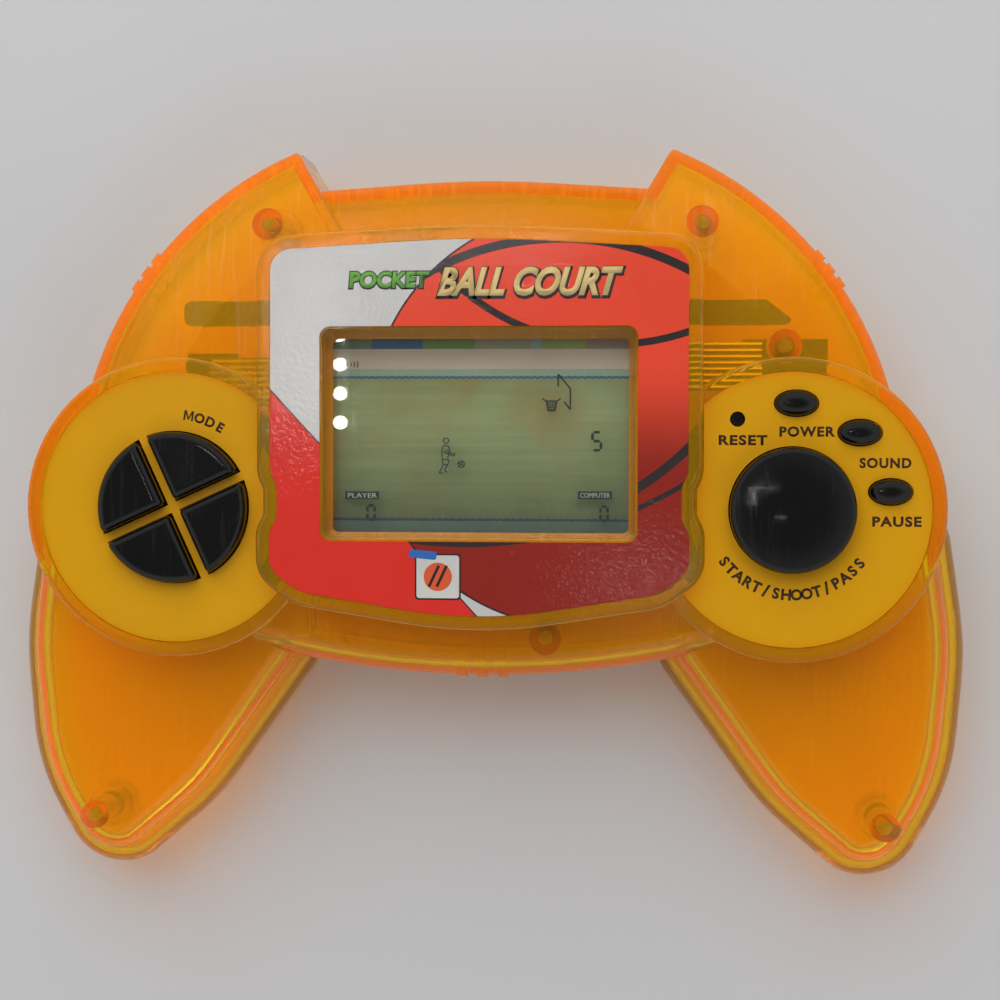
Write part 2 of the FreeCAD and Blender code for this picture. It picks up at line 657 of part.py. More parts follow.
def key_domes(side):
    if side < 0:
        places = []
        for quarter in range(4):
            turn = math.radians(PAD_TURN + 45 + 90 * quarter)
            places.append((-POD_X + 6.6 * math.cos(turn), 6.6 * math.sin(turn), 3.0))
        return places
    return [(POD_X, 0.0, 4.5), (*RESET_AT, 1.3)] + [(x, y, 1.9) for x, y in OVAL_KEYS.values()]


def key_mat(side):
    """A rubber sheet on the key board, with a dome under each key."""
    z0 = BOARD_Z[1]
    sheet = cyl(side * POD_X, 0, 15.6, z0, MAT_Z)
    pads = [cyl(x, y, r + 1.0, z0, MAT_Z) for x, y, r in key_domes(side)]
    keep = box(32.0, 80, -30, 30, z0 - 1, MAT_Z + 1)
    keep = keep if side > 0 else mirrored(keep)
    mat = fused([sheet] + pads).common(keep)
    mat = mat.fuse([dome(x, y, r) for x, y, r in key_domes(side)])
    return mat.cut([cyl(side * x, y, 1.8, z0 - 1, DOME_Z) for x, y in KEY_POSTS]).removeSplitter()


def ribbon(side, y0, wires):
    """A flat cable of round-backed conductors, lying on both boards that it joins."""
    pitch = 0.95
    z = BOARD_Z[1]
    x0, x1 = 27.6, 43.0
    bars = [box(x0, x1, y0, y0 + pitch * wires, z, z + 0.3)]
    for k in range(wires):
        centre = V(x0, y0 + pitch * (k + 0.5), z + 0.3)
        core = Part.makeCylinder(0.44, x1 - x0, centre, V(1, 0, 0))
        bars.append(core.common(box(x0, x1, y0 - 1, 40, z, z + 2)))
    cable = fused(bars)
    return cable if side > 0 else mirrored(cable)


def chip_blob():
    """The epoxy blob over the game's bare chip, under the main board."""
    r = 5.0
    height = 1.4
    ball_r = (r * r + height * height) / (2 * height)
    ball = Part.makeSphere(ball_r, V(12.0, 25.0, BOARD_Z[0] - height + ball_r))
    return ball.common(cyl(12.0, 25.0, r, BOARD_Z[0] - 3, BOARD_Z[0]))


def capacitor(x, y):
    body = cyl(x, y, 2.5, 7.8, BOARD_Z[0] - 0.4)
    body = round_edges(body, 0.4, lambda ps: at_height(7.8)(ps) or at_height(BOARD_Z[0] - 0.4)(ps))
    legs = [cyl(x, y + d, 0.25, BOARD_Z[0] - 0.6, BOARD_Z[0]) for d in (-1, 1)]
    return body.fuse(legs)


def resistor(x, y):
    """An axial resistor under the board, on its two bent legs."""
    z = BOARD_Z[0] - 1.3
    body = Part.makeCylinder(0.9, 4.4, V(x - 2.2, y, z), V(1, 0, 0))
    wire = Part.makeCylinder(0.22, 7.0, V(x - 3.5, y, z), V(1, 0, 0))
    legs = [cyl(x + d, y, 0.22, z - 0.2, BOARD_Z[0]) for d in (-3.3, 3.3)]
    return body.fuse([wire] + legs).removeSplitter()


def piezo():
    px, py = PIEZO_AT
    z = SLAB_Z + WALL
    return cyl(px, py, PIEZO_R, z + 0.8, z + 1.05).fuse(
        cyl(px, py, PIEZO_R - 2.5, z + 1.05, z + 1.3)).removeSplitter()


def foam_ring():
    px, py = PIEZO_AT
    z = SLAB_Z + WALL
    return cyl(px, py, PIEZO_R, z, z + 0.8).cut(cyl(px, py, PIEZO_R - 1.8, z - 1, z + 2))


# ---- battery ----------------------------------------------------------------------------------------
def cell(index):
    """An AAA cell. The front one points its nub to the right, the rear one to the left."""
    side = 1 if index == 0 else -1
    y = CELL_Y[index]
    tip = BAY[0] - 0.4
    body_end = tip - NUB_LENGTH
    start = tip - CELL_LENGTH
    can = Part.makeCylinder(CELL_R, body_end - start, V(start, y, CELL_Z), V(1, 0, 0))
    can = can.makeFillet(0.5, [e for e in can.Edges if e.Closed])
    nub = Part.makeCylinder(1.9, NUB_LENGTH + 0.2, V(body_end - 0.2, y, CELL_Z), V(1, 0, 0))
    whole = can.fuse(nub).removeSplitter()
    if side < 0:
        whole = mirrored(whole)
    return whole


def coil(side, y):
    """A contact spring between the bay's end and a cell's flat end."""
    turns = 3
    length = 2 * BAY[0] - CELL_LENGTH - 0.4 - 0.4 - 0.75
    wire_r = 0.34
    coil_r = 2.7
    helix = Part.makeHelix(length / turns, length, coil_r)
    profile = Part.Wire(Part.makeCircle(wire_r, V(coil_r, 0, 0), V(0, 1, 0)))
    spring = Part.Wire(helix.Edges).makePipeShell([profile], True, True)
    spring.rotate(V(0, 0, 0), V(0, 1, 0), 90)
    spring.translate(V(-BAY[0] + 0.4 + 0.36, y, CELL_Z))
    spring = mirrored(spring)
    if side < 0:
        spring.rotate(V(0, y, 0), V(0, 0, 1), 180)
    return spring


def contact_plate(side, y0, y1):
    x = BAY[0]
    plate = box(x - 0.4, x, y0, y1, 3.2, 12.2)
    return plate if side > 0 else mirrored(plate)


def contact_tab_places():
    """Where the two right-hand contacts pass through the bay's wall, to their leads."""
    return [(BAY[0] + 0.7, CELL_Y[0]), (BAY[0] + 0.7, CELL_Y[1])]


def contact_tab(y):
    return box(BAY[0] - 0.3, BAY[0] + 2.6, y - 1.1, y + 1.1, 11.2, 11.6)


def tube(points, radius):
    """A wire along straight runs joined by tangent arcs."""
    edges = []
    last = points[0]
    for before, here, after in zip(points, points[1:], points[2:]):
        back = before - here
        ahead = after - here
        shorter = min(back.Length, ahead.Length)
        back.normalize()
        ahead.normalize()
        reach = 0.45 * shorter
        half = back.getAngle(ahead) / 2
        bend = reach * math.tan(half)
        inward = (back + ahead).normalize()
        middle = here + inward * (bend / math.sin(half) - bend)
        start = here + back * reach
        end = here + ahead * reach
        edges.append(Part.LineSegment(last, start).toShape())
        edges.append(Part.Arc(start, middle, end).toShape())
        last = end
    edges.append(Part.LineSegment(last, points[-1]).toShape())
    path = Part.Wire(edges)
    aim = points[1] - points[0]
    ring = Part.Wire(Part.makeCircle(radius, points[0], aim))
    return path.makePipeShell([ring], True, True)


def battery_lead(y, side):
    """A short lead from a contact's tab up to the main board."""
    z = BOARD_Z[0]
    return tube([V(26.4, y, 11.6), V(26.4, y, 13.0), V(26.8, y + side * 1.6, 14.2),
                 V(26.8, y + side * 1.6, z)], 0.5)


def speaker_lead(shift):
    px, py = PIEZO_AT
    start = V(px + shift * 2, py - 2.0, SLAB_Z + WALL + 1.3)
    return tube([start, start + V(0, 0, 3.0), V(px + shift * 2 - 4, py - 7.0, 11.2),
                 V(px + shift * 2 - 4, py - 7.0, BOARD_Z[0])], 0.5)


# ---- fasteners ----------------------------------------------------------------------------------------
def cross_slot(x, y, z, size):
    return [box(x - size, x + size, y - 0.25, y + 0.25, z - 1, z + 0.7),
            box(x - 0.25, x + 0.25, y - size, y + size, z - 1, z + 0.7)]


def screw(x, y, head_z, tip_z, shank_r, head_r, head_height):
    """A cross-head screw driven upwards; its head's face is at head_z."""
    head = cyl(x, y, head_r, head_z, head_z + head_height)
    head = round_edges(head, 0.35, at_height(head_z))
    shank = cyl(x, y, shank_r, head_z + head_height, tip_z - shank_r)
    tip = Part.makeCone(shank_r, 0.15, shank_r, V(x, y, tip_z - shank_r))
    return fused([head, shank, tip]).cut(cross_slot(x, y, head_z, head_r * 0.6)).removeSplitter()


def case_screws():
    made = []
    for x, y in SCREWS:
        tip = 18.6 if abs(x) < 60 else 16.4
        made.append(screw(x, y, SCREW_SEAT_Z - 1.5, tip, SCREW_R, SCREW_HEAD_R, 1.5))
    return Part.makeCompound(made)


def board_screws():
    places = BOARD_SCREWS + [(side * x, y) for x, y in KEY_POSTS for side in (1, -1)]
    return Part.makeCompound([screw(x, y, BOARD_Z[0] - 1.1, BOARD_Z[1] + 3.6, 0.8, 1.7, 1.1)
                              for x, y in places])


# ---- the whole part -----------------------------------------------------------------------------------
def build():
    front, rear = LCD_Y
    nodes = {
        "front_shell": front_shell(),
        "back_shell": back_shell(),
        "battery_door": battery_door(),
        "left_pad_plate": pad_plate(-1),
        "right_pad_plate": pad_plate(1),
        "face_label": face_label(),
        "display_lens": display_lens(),
        "up_key": direction_key(0),
        "left_key": direction_key(1),
        "down_key": direction_key(2),
        "right_key": direction_key(3),
        "action_button": action_button(),
        "reset_button": reset_button(),
        "lcd_front_glass": lcd_sheet(LCD_Z[1], LCD_Z[2], 0.0),
        "lcd_rear_glass": lcd_sheet(LCD_Z[0], LCD_Z[1] - LCD_GAP, 0.0),
        "lcd_backdrop": box(-LCD_HALF + 0.2, LCD_HALF - 0.2, front + 2.6, rear - 2.6,
                            CARD_Z, LCD_Z[0] - LCD_GAP),
        "lcd_holder": lcd_holder(),
        "front_zebra_strip": zebra_strip(front + 0.55),
        "rear_zebra_strip": zebra_strip(rear - 2.45),
        "main_board": main_board(),
        "left_key_board": key_board(-1),
        "right_key_board": key_board(1),
        "left_key_mat": key_mat(-1),
        "right_key_mat": key_mat(1),
        "left_ribbon": ribbon(-1, 15.7, 8),
        "right_ribbon": ribbon(1, 18.1, 8),
        "chip_blob": chip_blob(),
        "capacitors": Part.makeCompound([capacitor(24.0, 27.0), capacitor(-24.5, 20.0)]),
        "resonator": upright_edges(box(-2.5, 2.5, 14.0, 16.4, 12.6, BOARD_Z[0]), 0.5),
        "resistors": Part.makeCompound([resistor(x, y) for x, y in
                                        ((-8, 20), (-8, 23), (1, 20), (1, 23))]),
        "piezo_disc": piezo(),
        "piezo_foam_ring": foam_ring(),
        "front_cell": cell(0),
        "rear_cell": cell(1),
        "contact_bridge": contact_plate(-1, CELL_Y[0] - 4.2, CELL_Y[1] + 4.2),
        "bridge_spring": coil(-1, CELL_Y[0]),
        "positive_contact": contact_plate(1, CELL_Y[0] - 4.2, CELL_Y[0] + 4.2).fuse(
            contact_tab(CELL_Y[0])).removeSplitter(),
        "negative_contact": contact_plate(1, CELL_Y[1] - 4.2, CELL_Y[1] + 4.2).fuse(
            contact_tab(CELL_Y[1])).removeSplitter(),
        "negative_spring": coil(1, CELL_Y[1]),
        "positive_lead": battery_lead(CELL_Y[0], 1),
        "negative_lead": battery_lead(CELL_Y[1], -1),
        "speaker_leads": Part.makeCompound([speaker_lead(-1), speaker_lead(1)]),
        "case_screws": case_screws(),
        "board_screws": board_screws(),
    }
    for name, (x, y) in OVAL_KEYS.items():
        nodes[name] = oval_key(x, y)
    return nodes


def main():
    os.makedirs("parts", exist_ok=True)
    for name, shape in build().items():
        shape.translate(V(0, POD_LINE_Y, 0))
        shape.exportStep(os.path.join("parts", name + ".step"))
        box_ = shape.BoundBox
        print(f"{name:18s} solids {len(shape.Solids)} valid {shape.isValid()} volume {shape.Volume:9.1f}"
              f"  x {box_.XMin:6.1f} {box_.XMax:6.1f}  y {box_.YMin:6.1f} {box_.YMax:6.1f}"
              f"  z {box_.ZMin:5.1f} {box_.ZMax:5.1f}")


main()
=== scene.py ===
# %% [markdown]
# # A see-through amber ball game, lesson by lesson
#
# The object is a small two-handed electronic game. Its casings are amber plastic that can be seen
# through, its keys are black and glossy, and a printed sheet frames a grey display.
#
# The shapes of the casings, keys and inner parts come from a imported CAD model, which is loaded as a
# fixed frame. This script adds what CAD leaves out: finishes, printing, lettering, display segments
# and small details. Every size is in metres, so `MM` turns millimetres into metres.

# %% Load the CAD frame
import math

import bmesh
import bpy
from mathutils import Matrix, Vector


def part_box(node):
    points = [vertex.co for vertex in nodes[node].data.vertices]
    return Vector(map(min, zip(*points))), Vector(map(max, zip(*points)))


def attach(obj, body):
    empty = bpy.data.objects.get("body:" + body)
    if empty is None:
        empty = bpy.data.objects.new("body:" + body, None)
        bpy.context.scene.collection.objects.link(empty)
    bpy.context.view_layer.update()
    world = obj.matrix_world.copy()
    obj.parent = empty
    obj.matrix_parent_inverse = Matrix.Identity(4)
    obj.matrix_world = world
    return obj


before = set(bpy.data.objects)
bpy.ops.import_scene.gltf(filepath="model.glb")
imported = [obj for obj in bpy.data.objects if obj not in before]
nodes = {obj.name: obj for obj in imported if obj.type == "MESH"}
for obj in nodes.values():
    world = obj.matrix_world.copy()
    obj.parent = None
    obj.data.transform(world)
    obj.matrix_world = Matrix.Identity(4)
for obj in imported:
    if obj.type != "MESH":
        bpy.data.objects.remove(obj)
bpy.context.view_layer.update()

MM = 0.001
scene = bpy.context.scene

# %% [markdown]
# ## The camera
#
# The game is seen from almost straight above, from a little over 30 cm, with a lens longer than the
# usual 50 mm, so that only the game and a margin of table are in view. Setting the camera first lets
# every later choice be judged through it.

# %% Camera over the game, a little to its right
camera_data = bpy.data.cameras.new("camera")
camera_data.lens = 74.6
camera_data.sensor_width = 36.0
camera_data.clip_start = 0.01
CAMERA_PLACE = (0.0294, 0.0114, 0.340)
CAMERA_LEAN = (-1.57, 4.77, 0.13)  # degrees about X, Y and Z
camera = bpy.data.objects.new("camera", camera_data)
camera.location = CAMERA_PLACE
camera.rotation_euler = [math.radians(a) for a in CAMERA_LEAN]
scene.collection.objects.link(camera)
scene.camera = camera
print("camera", tuple(round(v, 3) for v in camera.location))

# %% [markdown]
# ## Where things are
#
# Positions are read from the CAD frame where a node gives them, so that printing and lettering stay
# in place if a part is moved. The thumb pods are round, and their centres lie on one line.

# %% Landmarks read from the frame
def middle(node):
    low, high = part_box(node)
    return (Vector(low) + Vector(high)) / 2


def top_of(node):
    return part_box(node)[1][2]


POD = middle("action_button")
POD_LINE = POD.y
PLATE_TOP = top_of("right_pad_plate")
LABEL_TOP = top_of("face_label")
GLASS_TOP = top_of("lcd_front_glass")
print("pod at", [round(v / MM, 2) for v in POD], "label top", round(LABEL_TOP / MM, 2))

# %% [markdown]
# ## Node helpers
#
# A Blender material is a small graph. These helpers keep each material short: one adds a node and
# sets its values by name, two make a sum and a mix and link them, one starts a material with its
# shader, and one puts a material on CAD nodes.

# %% Helpers that build node graphs
def add(tree, kind, label="", **values):
    node = tree.nodes.new(kind)
    node.label = label
    for key, value in values.items():
        if hasattr(node, key):
            setattr(node, key, value)
        else:
            node.inputs[key.replace("_", " ")].default_value = value
    return node


def math_node(tree, operation, first, second=None, third=None, clamp=False):
    """A Math node; each operand is a socket or a number. Gives its output socket."""
    node = tree.nodes.new("ShaderNodeMath")
    node.operation = operation
    node.use_clamp = clamp
    for slot, value in enumerate((first, second, third)):
        if value is None:
            continue
        if isinstance(value, (int, float)):
            node.inputs[slot].default_value = value
        else:
            tree.links.new(value, node.inputs[slot])
    return node.outputs[0]


def mix_colour(tree, mask, below, above):
    """Colour `above` where the mask is 1; each colour is a socket or a tuple. Gives a socket."""
    node = tree.nodes.new("ShaderNodeMix")
    node.data_type = "RGBA"
    for slot, value in ((0, mask), (6, below), (7, above)):
        if isinstance(value, bpy.types.NodeSocket):
            tree.links.new(value, node.inputs[slot])
        elif isinstance(value, (int, float)):
            node.inputs[slot].default_value = value
        else:
            node.inputs[slot].default_value = (*value[:3], 1.0)
    return node.outputs[2]


def start_material(name, colour, **sockets):
    """A material with one Principled shader. Sockets are set by name, with _ for a space."""
    material = bpy.data.materials.new(name)
    material.use_nodes = True
    tree = material.node_tree
    shader = tree.nodes["Principled BSDF"]
    shader.inputs["Base Color"].default_value = (*colour[:3], 1.0)
    material.diffuse_color = (*colour[:3], 1.0)
    for key, value in sockets.items():
        shader.inputs[key.replace("_", " ")].default_value = value
    return material, tree, shader


def dress(material, *node_names):
    """Puts a material on CAD nodes, in the slots they already have."""
    for name in node_names:
        node = nodes[name]
        if not node.material_slots:
            node.data.materials.append(material)
        for slot in node.material_slots:
            slot.material = material


print("helpers ready:", ", ".join(f.__name__ for f in (add, math_node, mix_colour, start_material, dress)))

# %% [markdown]
# ## Shared effect: the grain of a moulded or coated surface
#
# Even shiny plastic is never optically flat. A mould leaves a slight pebble, and handling leaves
# patches that are a little duller. One group gives both: a height for a Bump node and a mask for
# roughness. Scales are in millimetres, because Object coordinates here are real metres.

# %% Build the surface grain group
def make_grain_group():
    group = bpy.data.node_groups.new("Surface grain", "ShaderNodeTree")
    face = group.interface
    face.new_socket("Grain mm", in_out="INPUT", socket_type="NodeSocketFloat").default_value = 0.5
    face.new_socket("Patch mm", in_out="INPUT", socket_type="NodeSocketFloat").default_value = 12.0
    face.new_socket("Height", in_out="OUTPUT", socket_type="NodeSocketFloat")
    face.new_socket("Patches", in_out="OUTPUT", socket_type="NodeSocketFloat")
    inside = group.nodes.new("NodeGroupInput")
    outside = group.nodes.new("NodeGroupOutput")
    place = add(group, "ShaderNodeTexCoord")
    grain = add(group, "ShaderNodeTexNoise", "pebble", Detail=2.0, Roughness=0.55)
    patch = add(group, "ShaderNodeTexNoise", "handled patches", Detail=3.0, Roughness=0.6)
    for texture, socket in ((grain, "Grain mm"), (patch, "Patch mm")):
        scale = math_node(group, "DIVIDE", 1000.0, inside.outputs[socket])
        group.links.new(scale, texture.inputs["Scale"])
        group.links.new(place.outputs["Object"], texture.inputs["Vector"])
    soft = add(group, "ShaderNodeMapRange", "only the patches", interpolation_type="SMOOTHSTEP",
               From_Min=0.42, From_Max=0.68)
    group.links.new(patch.outputs["Fac"], soft.inputs["Value"])
    group.links.new(grain.outputs["Fac"], outside.inputs["Height"])
    group.links.new(soft.outputs["Result"], outside.inputs["Patches"])
    return group


grain_group = make_grain_group()
print("group", grain_group.name, [s.name for s in grain_group.interface.items_tree])

# %% [markdown]
# ## Shared effect: fine scratches and dust
#
# A used toy has hair scratches on flat glossy areas and a few dust specks. Both are very thin, so
# they are cut out of stretched noise with a narrow threshold. The group gives a single mask.

# %% Build the scratches group
SCRATCH_LEVEL = 0.735  # only the noise above this is a scratch
SPECK_REACH = 0.045  # a speck's radius, in cells of the dust pattern


def make_scratch_group():
    group = bpy.data.node_groups.new("Scratches and dust", "ShaderNodeTree")
    face = group.interface
    face.new_socket("Amount", in_out="INPUT", socket_type="NodeSocketFloat").default_value = 0.5
    face.new_socket("Mask", in_out="OUTPUT", socket_type="NodeSocketFloat")
    inside = group.nodes.new("NodeGroupInput")
    outside = group.nodes.new("NodeGroupOutput")
    place = add(group, "ShaderNodeTexCoord")
    total = None
    along, upward = 70.0, 300.0
    for turn, across in ((0.5, 1500.0), (-0.9, 1100.0), (1.9, 1300.0)):
        mapping = add(group, "ShaderNodeMapping", "stretched", Rotation=(0, 0, turn),
                      Scale=(across, along, upward))
        noise = add(group, "ShaderNodeTexNoise", Scale=1.0, Detail=0.0)
        group.links.new(place.outputs["Object"], mapping.inputs["Vector"])
        group.links.new(mapping.outputs["Vector"], noise.inputs["Vector"])
        line = math_node(group, "GREATER_THAN", noise.outputs["Fac"], SCRATCH_LEVEL)
        total = line if total is None else math_node(group, "MAXIMUM", total, line)
    specks = add(group, "ShaderNodeTexVoronoi", "dust", feature="F1", Scale=420.0)
    group.links.new(place.outputs["Object"], specks.inputs["Vector"])
    dust = math_node(group, "LESS_THAN", specks.outputs["Distance"], SPECK_REACH)
    both = math_node(group, "MAXIMUM", total, dust)
    result = math_node(group, "MULTIPLY", both, inside.outputs["Amount"], clamp=True)
    group.links.new(result, outside.inputs["Mask"])
    return group


scratch_group = make_scratch_group()
print("group", scratch_group.name)

# %% [markdown]
# ## Giving a finish its grain
#
# Almost every finish uses the same three links: grain height to a Bump node, patches to roughness,
# and a slight change of colour between patches. `texture_skin` places them with their own values.

# %% A helper that adds grain to a finish
SCRATCH_DULLS = 0.25  # what a scratch adds to roughness


def texture_skin(tree, shader, colour, grain_mm=0.5, depth_mm=0.01, patch_mm=12.0,
                 roughness=(0.3, 0.4), tint=0.9, scratches=0.0):
    """Grain and patches on a shader. `colour` is a tuple or a socket; tint darkens the patches."""
    grain = add(tree, "ShaderNodeGroup", "grain", node_tree=grain_group)
    grain.inputs["Grain mm"].default_value = grain_mm
    grain.inputs["Patch mm"].default_value = patch_mm
    bump = add(tree, "ShaderNodeBump", Strength=1.0, Distance=depth_mm * MM)
    tree.links.new(grain.outputs["Height"], bump.inputs["Height"])
    tree.links.new(bump.outputs["Normal"], shader.inputs["Normal"])
    darker = mix_colour(tree, 1.0 - tint, colour, (0.0, 0.0, 0.0))
    tree.links.new(mix_colour(tree, grain.outputs["Patches"], colour, darker),
                   shader.inputs["Base Color"])
    low, high = roughness
    rough = math_node(tree, "MULTIPLY_ADD", grain.outputs["Patches"], high - low, low)
    if scratches:
        marks = add(tree, "ShaderNodeGroup", "scratches", node_tree=scratch_group)
        marks.inputs["Amount"].default_value = scratches
        rough = math_node(tree, "MULTIPLY_ADD", marks.outputs["Mask"], SCRATCH_DULLS, rough, clamp=True)
    tree.links.new(rough, shader.inputs["Roughness"])


def simple_finish(name, colour, roughness=(0.35, 0.45), grain_mm=0.5, depth_mm=0.005,
                  patch_mm=8.0, tint=0.88, scratches=0.0, **sockets):
    material, tree, shader = start_material(name, colour, **sockets)
    texture_skin(tree, shader, colour, grain_mm, depth_mm, patch_mm, roughness, tint, scratches)
    return material


print("helpers ready:", texture_skin.__name__, simple_finish.__name__)

# %% [markdown]
# ## Amber see-through plastic
#
# The casings are thin clear walls dyed amber. Light passes both casings, meets the table and comes
# back, so the thin decks glow yellow-orange, while walls seen edge-on are long paths and go deep
# orange. A Principled shader with transmission does this: each wall tints what passes. Shadow rays
# are let through, tinted, because refracted light would otherwise leave everything inside dark.

# %% The amber casing material
def clear_to_lamps(tree, shader, tint):
    """Adds the mix that lets lamps shine through: shadow rays meet a tinted Transparent shader."""
    rays = add(tree, "ShaderNodeLightPath")
    window = add(tree, "ShaderNodeBsdfTransparent", Color=(*tint, 1.0))
    mix = add(tree, "ShaderNodeMixShader")
    output = tree.nodes["Material Output"]
    tree.links.new(rays.outputs["Is Shadow Ray"], mix.inputs[0])
    tree.links.new(shader.outputs[0], mix.inputs[1])
    tree.links.new(window.outputs[0], mix.inputs[2])
    tree.links.new(mix.outputs[0], output.inputs["Surface"])


AMBER = (1.0, 0.63, 0.003)
AMBER_LAMPLIGHT = (0.97, 0.745, 0.07)
amber, tree, shader = start_material("amber_plastic", AMBER, Transmission_Weight=0.86, IOR=1.45,
                                     Specular_IOR_Level=0.3)
texture_skin(tree, shader, AMBER, grain_mm=6.0, depth_mm=0.03, patch_mm=30.0,
             roughness=(0.07, 0.13), tint=0.97, scratches=0.4)
clear_to_lamps(tree, shader, AMBER_LAMPLIGHT)
dress(amber, "front_shell", "back_shell", "battery_door")
print("amber on 3 nodes")

# %% [markdown]
# ## Yellow pad inlays
#
# The two inlays are opaque golden yellow, moulded with a fine satin texture. They need no glassy
# shader: the plain finish with a very fine grain, a middling roughness and weak reflections is enough.

# %% The inlay material
PAD_YELLOW = (0.68, 0.325, 0.002)
pad_yellow = simple_finish("pad_yellow", PAD_YELLOW, roughness=(0.36, 0.46), grain_mm=0.22,
                           depth_mm=0.006, patch_mm=20.0, tint=0.95, scratches=0.3,
                           Specular_IOR_Level=0.3)
dress(pad_yellow, "left_pad_plate", "right_pad_plate")
print("inlays, base colour", PAD_YELLOW)

# %% [markdown]
# ## Black keys
#
# The keys are polished black plastic. Nearly all of what is seen of them is reflection, so their
# roughness is low and their grain long and shallow.

# %% The key material
KEYS = ("up_key", "left_key", "down_key", "right_key", "action_button", "power_button",
        "sound_button", "pause_button", "reset_button")
key_black = simple_finish("key_black", (0.004, 0.0038, 0.0035), roughness=(0.10, 0.20), grain_mm=1.6,
                          depth_mm=0.004, patch_mm=7.0, tint=0.8, scratches=0.5, IOR=1.5)
dress(key_black, *KEYS)
print(len(KEYS), "black keys")

# %% [markdown]
# ## Printing made of circles and lines
#
# The printed face shows a big ball on a red and grey ground. Its shapes are simple, so they are
# drawn by the material: a group gives a mask for a disc, another for an arc-shaped band. Both work
# in millimetres on Object coordinates, so the print keeps its place on the sheet.

# %% Build the disc and band groups
def make_ring_group(name, band):
    """A mask that is 1 inside a disc, or on a band of some width round a circle."""
    group = bpy.data.node_groups.new(name, "ShaderNodeTree")
    face = group.interface
    face.new_socket("Centre", in_out="INPUT", socket_type="NodeSocketVector")
    face.new_socket("Radius", in_out="INPUT", socket_type="NodeSocketFloat")
    if band:
        face.new_socket("Width", in_out="INPUT", socket_type="NodeSocketFloat")
    face.new_socket("Mask", in_out="OUTPUT", socket_type="NodeSocketFloat")
    inside = group.nodes.new("NodeGroupInput")
    outside = group.nodes.new("NodeGroupOutput")
    place = add(group, "ShaderNodeTexCoord")
    flat = add(group, "ShaderNodeVectorMath", "in millimetres, flattened", operation="MULTIPLY")
    flat.inputs[1].default_value = (1000.0, 1000.0, 0.0)
    group.links.new(place.outputs["Object"], flat.inputs[0])
    reach = add(group, "ShaderNodeVectorMath", operation="DISTANCE")
    group.links.new(flat.outputs[0], reach.inputs[0])
    group.links.new(inside.outputs["Centre"], reach.inputs[1])
    distance = reach.outputs["Value"]
    if band:
        gap = math_node(group, "SUBTRACT", distance, inside.outputs["Radius"])
        away = math_node(group, "ABSOLUTE", gap)
        edge = math_node(group, "MULTIPLY", inside.outputs["Width"], 0.5)
        result = math_node(group, "LESS_THAN", away, edge)
    else:
        result = math_node(group, "LESS_THAN", distance, inside.outputs["Radius"])
    group.links.new(result, outside.inputs["Mask"])
    return group


disc_group = make_ring_group("Printed disc", band=False)
band_group = make_ring_group("Printed band", band=True)


def printed(tree, group, centre, radius, width=None):
    node = add(tree, "ShaderNodeGroup", "print", node_tree=group)
    node.inputs["Centre"].default_value = (*centre, 0.0)
    node.inputs["Radius"].default_value = radius
    if width is not None:
        node.inputs["Width"].default_value = width
    return node.outputs["Mask"]


print("groups", disc_group.name, "and", band_group.name)

# %% [markdown]
# ## The printed face
#
# A glossy sheet with a pebbled laminate, which breaks every reflection into sparkles. Ground: light
# grey above a slanting line, red below it. Over both lies the ball, bright at the top and dark red
# in its lower half, with black seams.

# %% The ground of the printed face
INK = (0.022, 0.014, 0.016)
GROUND_RED = (0.70, 0.020, 0.010)
GROUND_GREY = (0.55, 0.538, 0.515)
LINE_SLOPE = 1.084  # the line falls this much for each step to the right
LINE_START = -14.95  # its height at the middle, in millimetres
LINE_HALF = 0.16  # half its width

label_print, tree, shader = start_material("label_print", (0.7, 0.2, 0.15), Coat_Weight=1.0,
                                           Coat_Roughness=0.035, Coat_IOR=1.5,
                                           Specular_IOR_Level=0.1)
place = add(tree, "ShaderNodeTexCoord")
axes = add(tree, "ShaderNodeSeparateXYZ")
tree.links.new(place.outputs["Object"], axes.inputs[0])
x_mm = math_node(tree, "MULTIPLY", axes.outputs["X"], 1000.0)
y_mm = math_node(tree, "MULTIPLY", axes.outputs["Y"], 1000.0)
slant = math_node(tree, "MULTIPLY_ADD", x_mm, LINE_SLOPE, y_mm)
past_line = math_node(tree, "SUBTRACT", slant, LINE_START)
above_line = math_node(tree, "GREATER_THAN", past_line, 0.0)
ground = mix_colour(tree, above_line, GROUND_RED, GROUND_GREY)
on_line = math_node(tree, "LESS_THAN", math_node(tree, "ABSOLUTE", past_line), LINE_HALF)
ground = mix_colour(tree, on_line, ground, INK)
print("ground drawn; the line falls", LINE_SLOPE, "for each step to the right")

# %% [markdown]
# ## The ball on the printed face
#
# The ball is a disc. Its seams are parts of larger circles, so each one is a band round a centre of
# its own, cut off where the disc ends. A smooth ramp along Y makes the ball darker at the bottom.

# %% The ball and its seams
BALL_CENTRE = (14.75, 14.9)
BALL_RADIUS = 31.2
BALL_RIM = 0.3
BALL_DARK = (0.26, 0.008, 0.002)
BALL_BRIGHT = (0.80, 0.058, 0.022)
# Each seam is part of a circle: its centre, its radius and its width, in millimetres.
SEAMS = [((12.3, 0.6), 41.5, 1.35), ((20.3, 61.2), 35.0, 1.1), ((0.1, 42.7), 45.0, 1.4),
         ((-2.0, 60.0), 64.0, 0.8)]

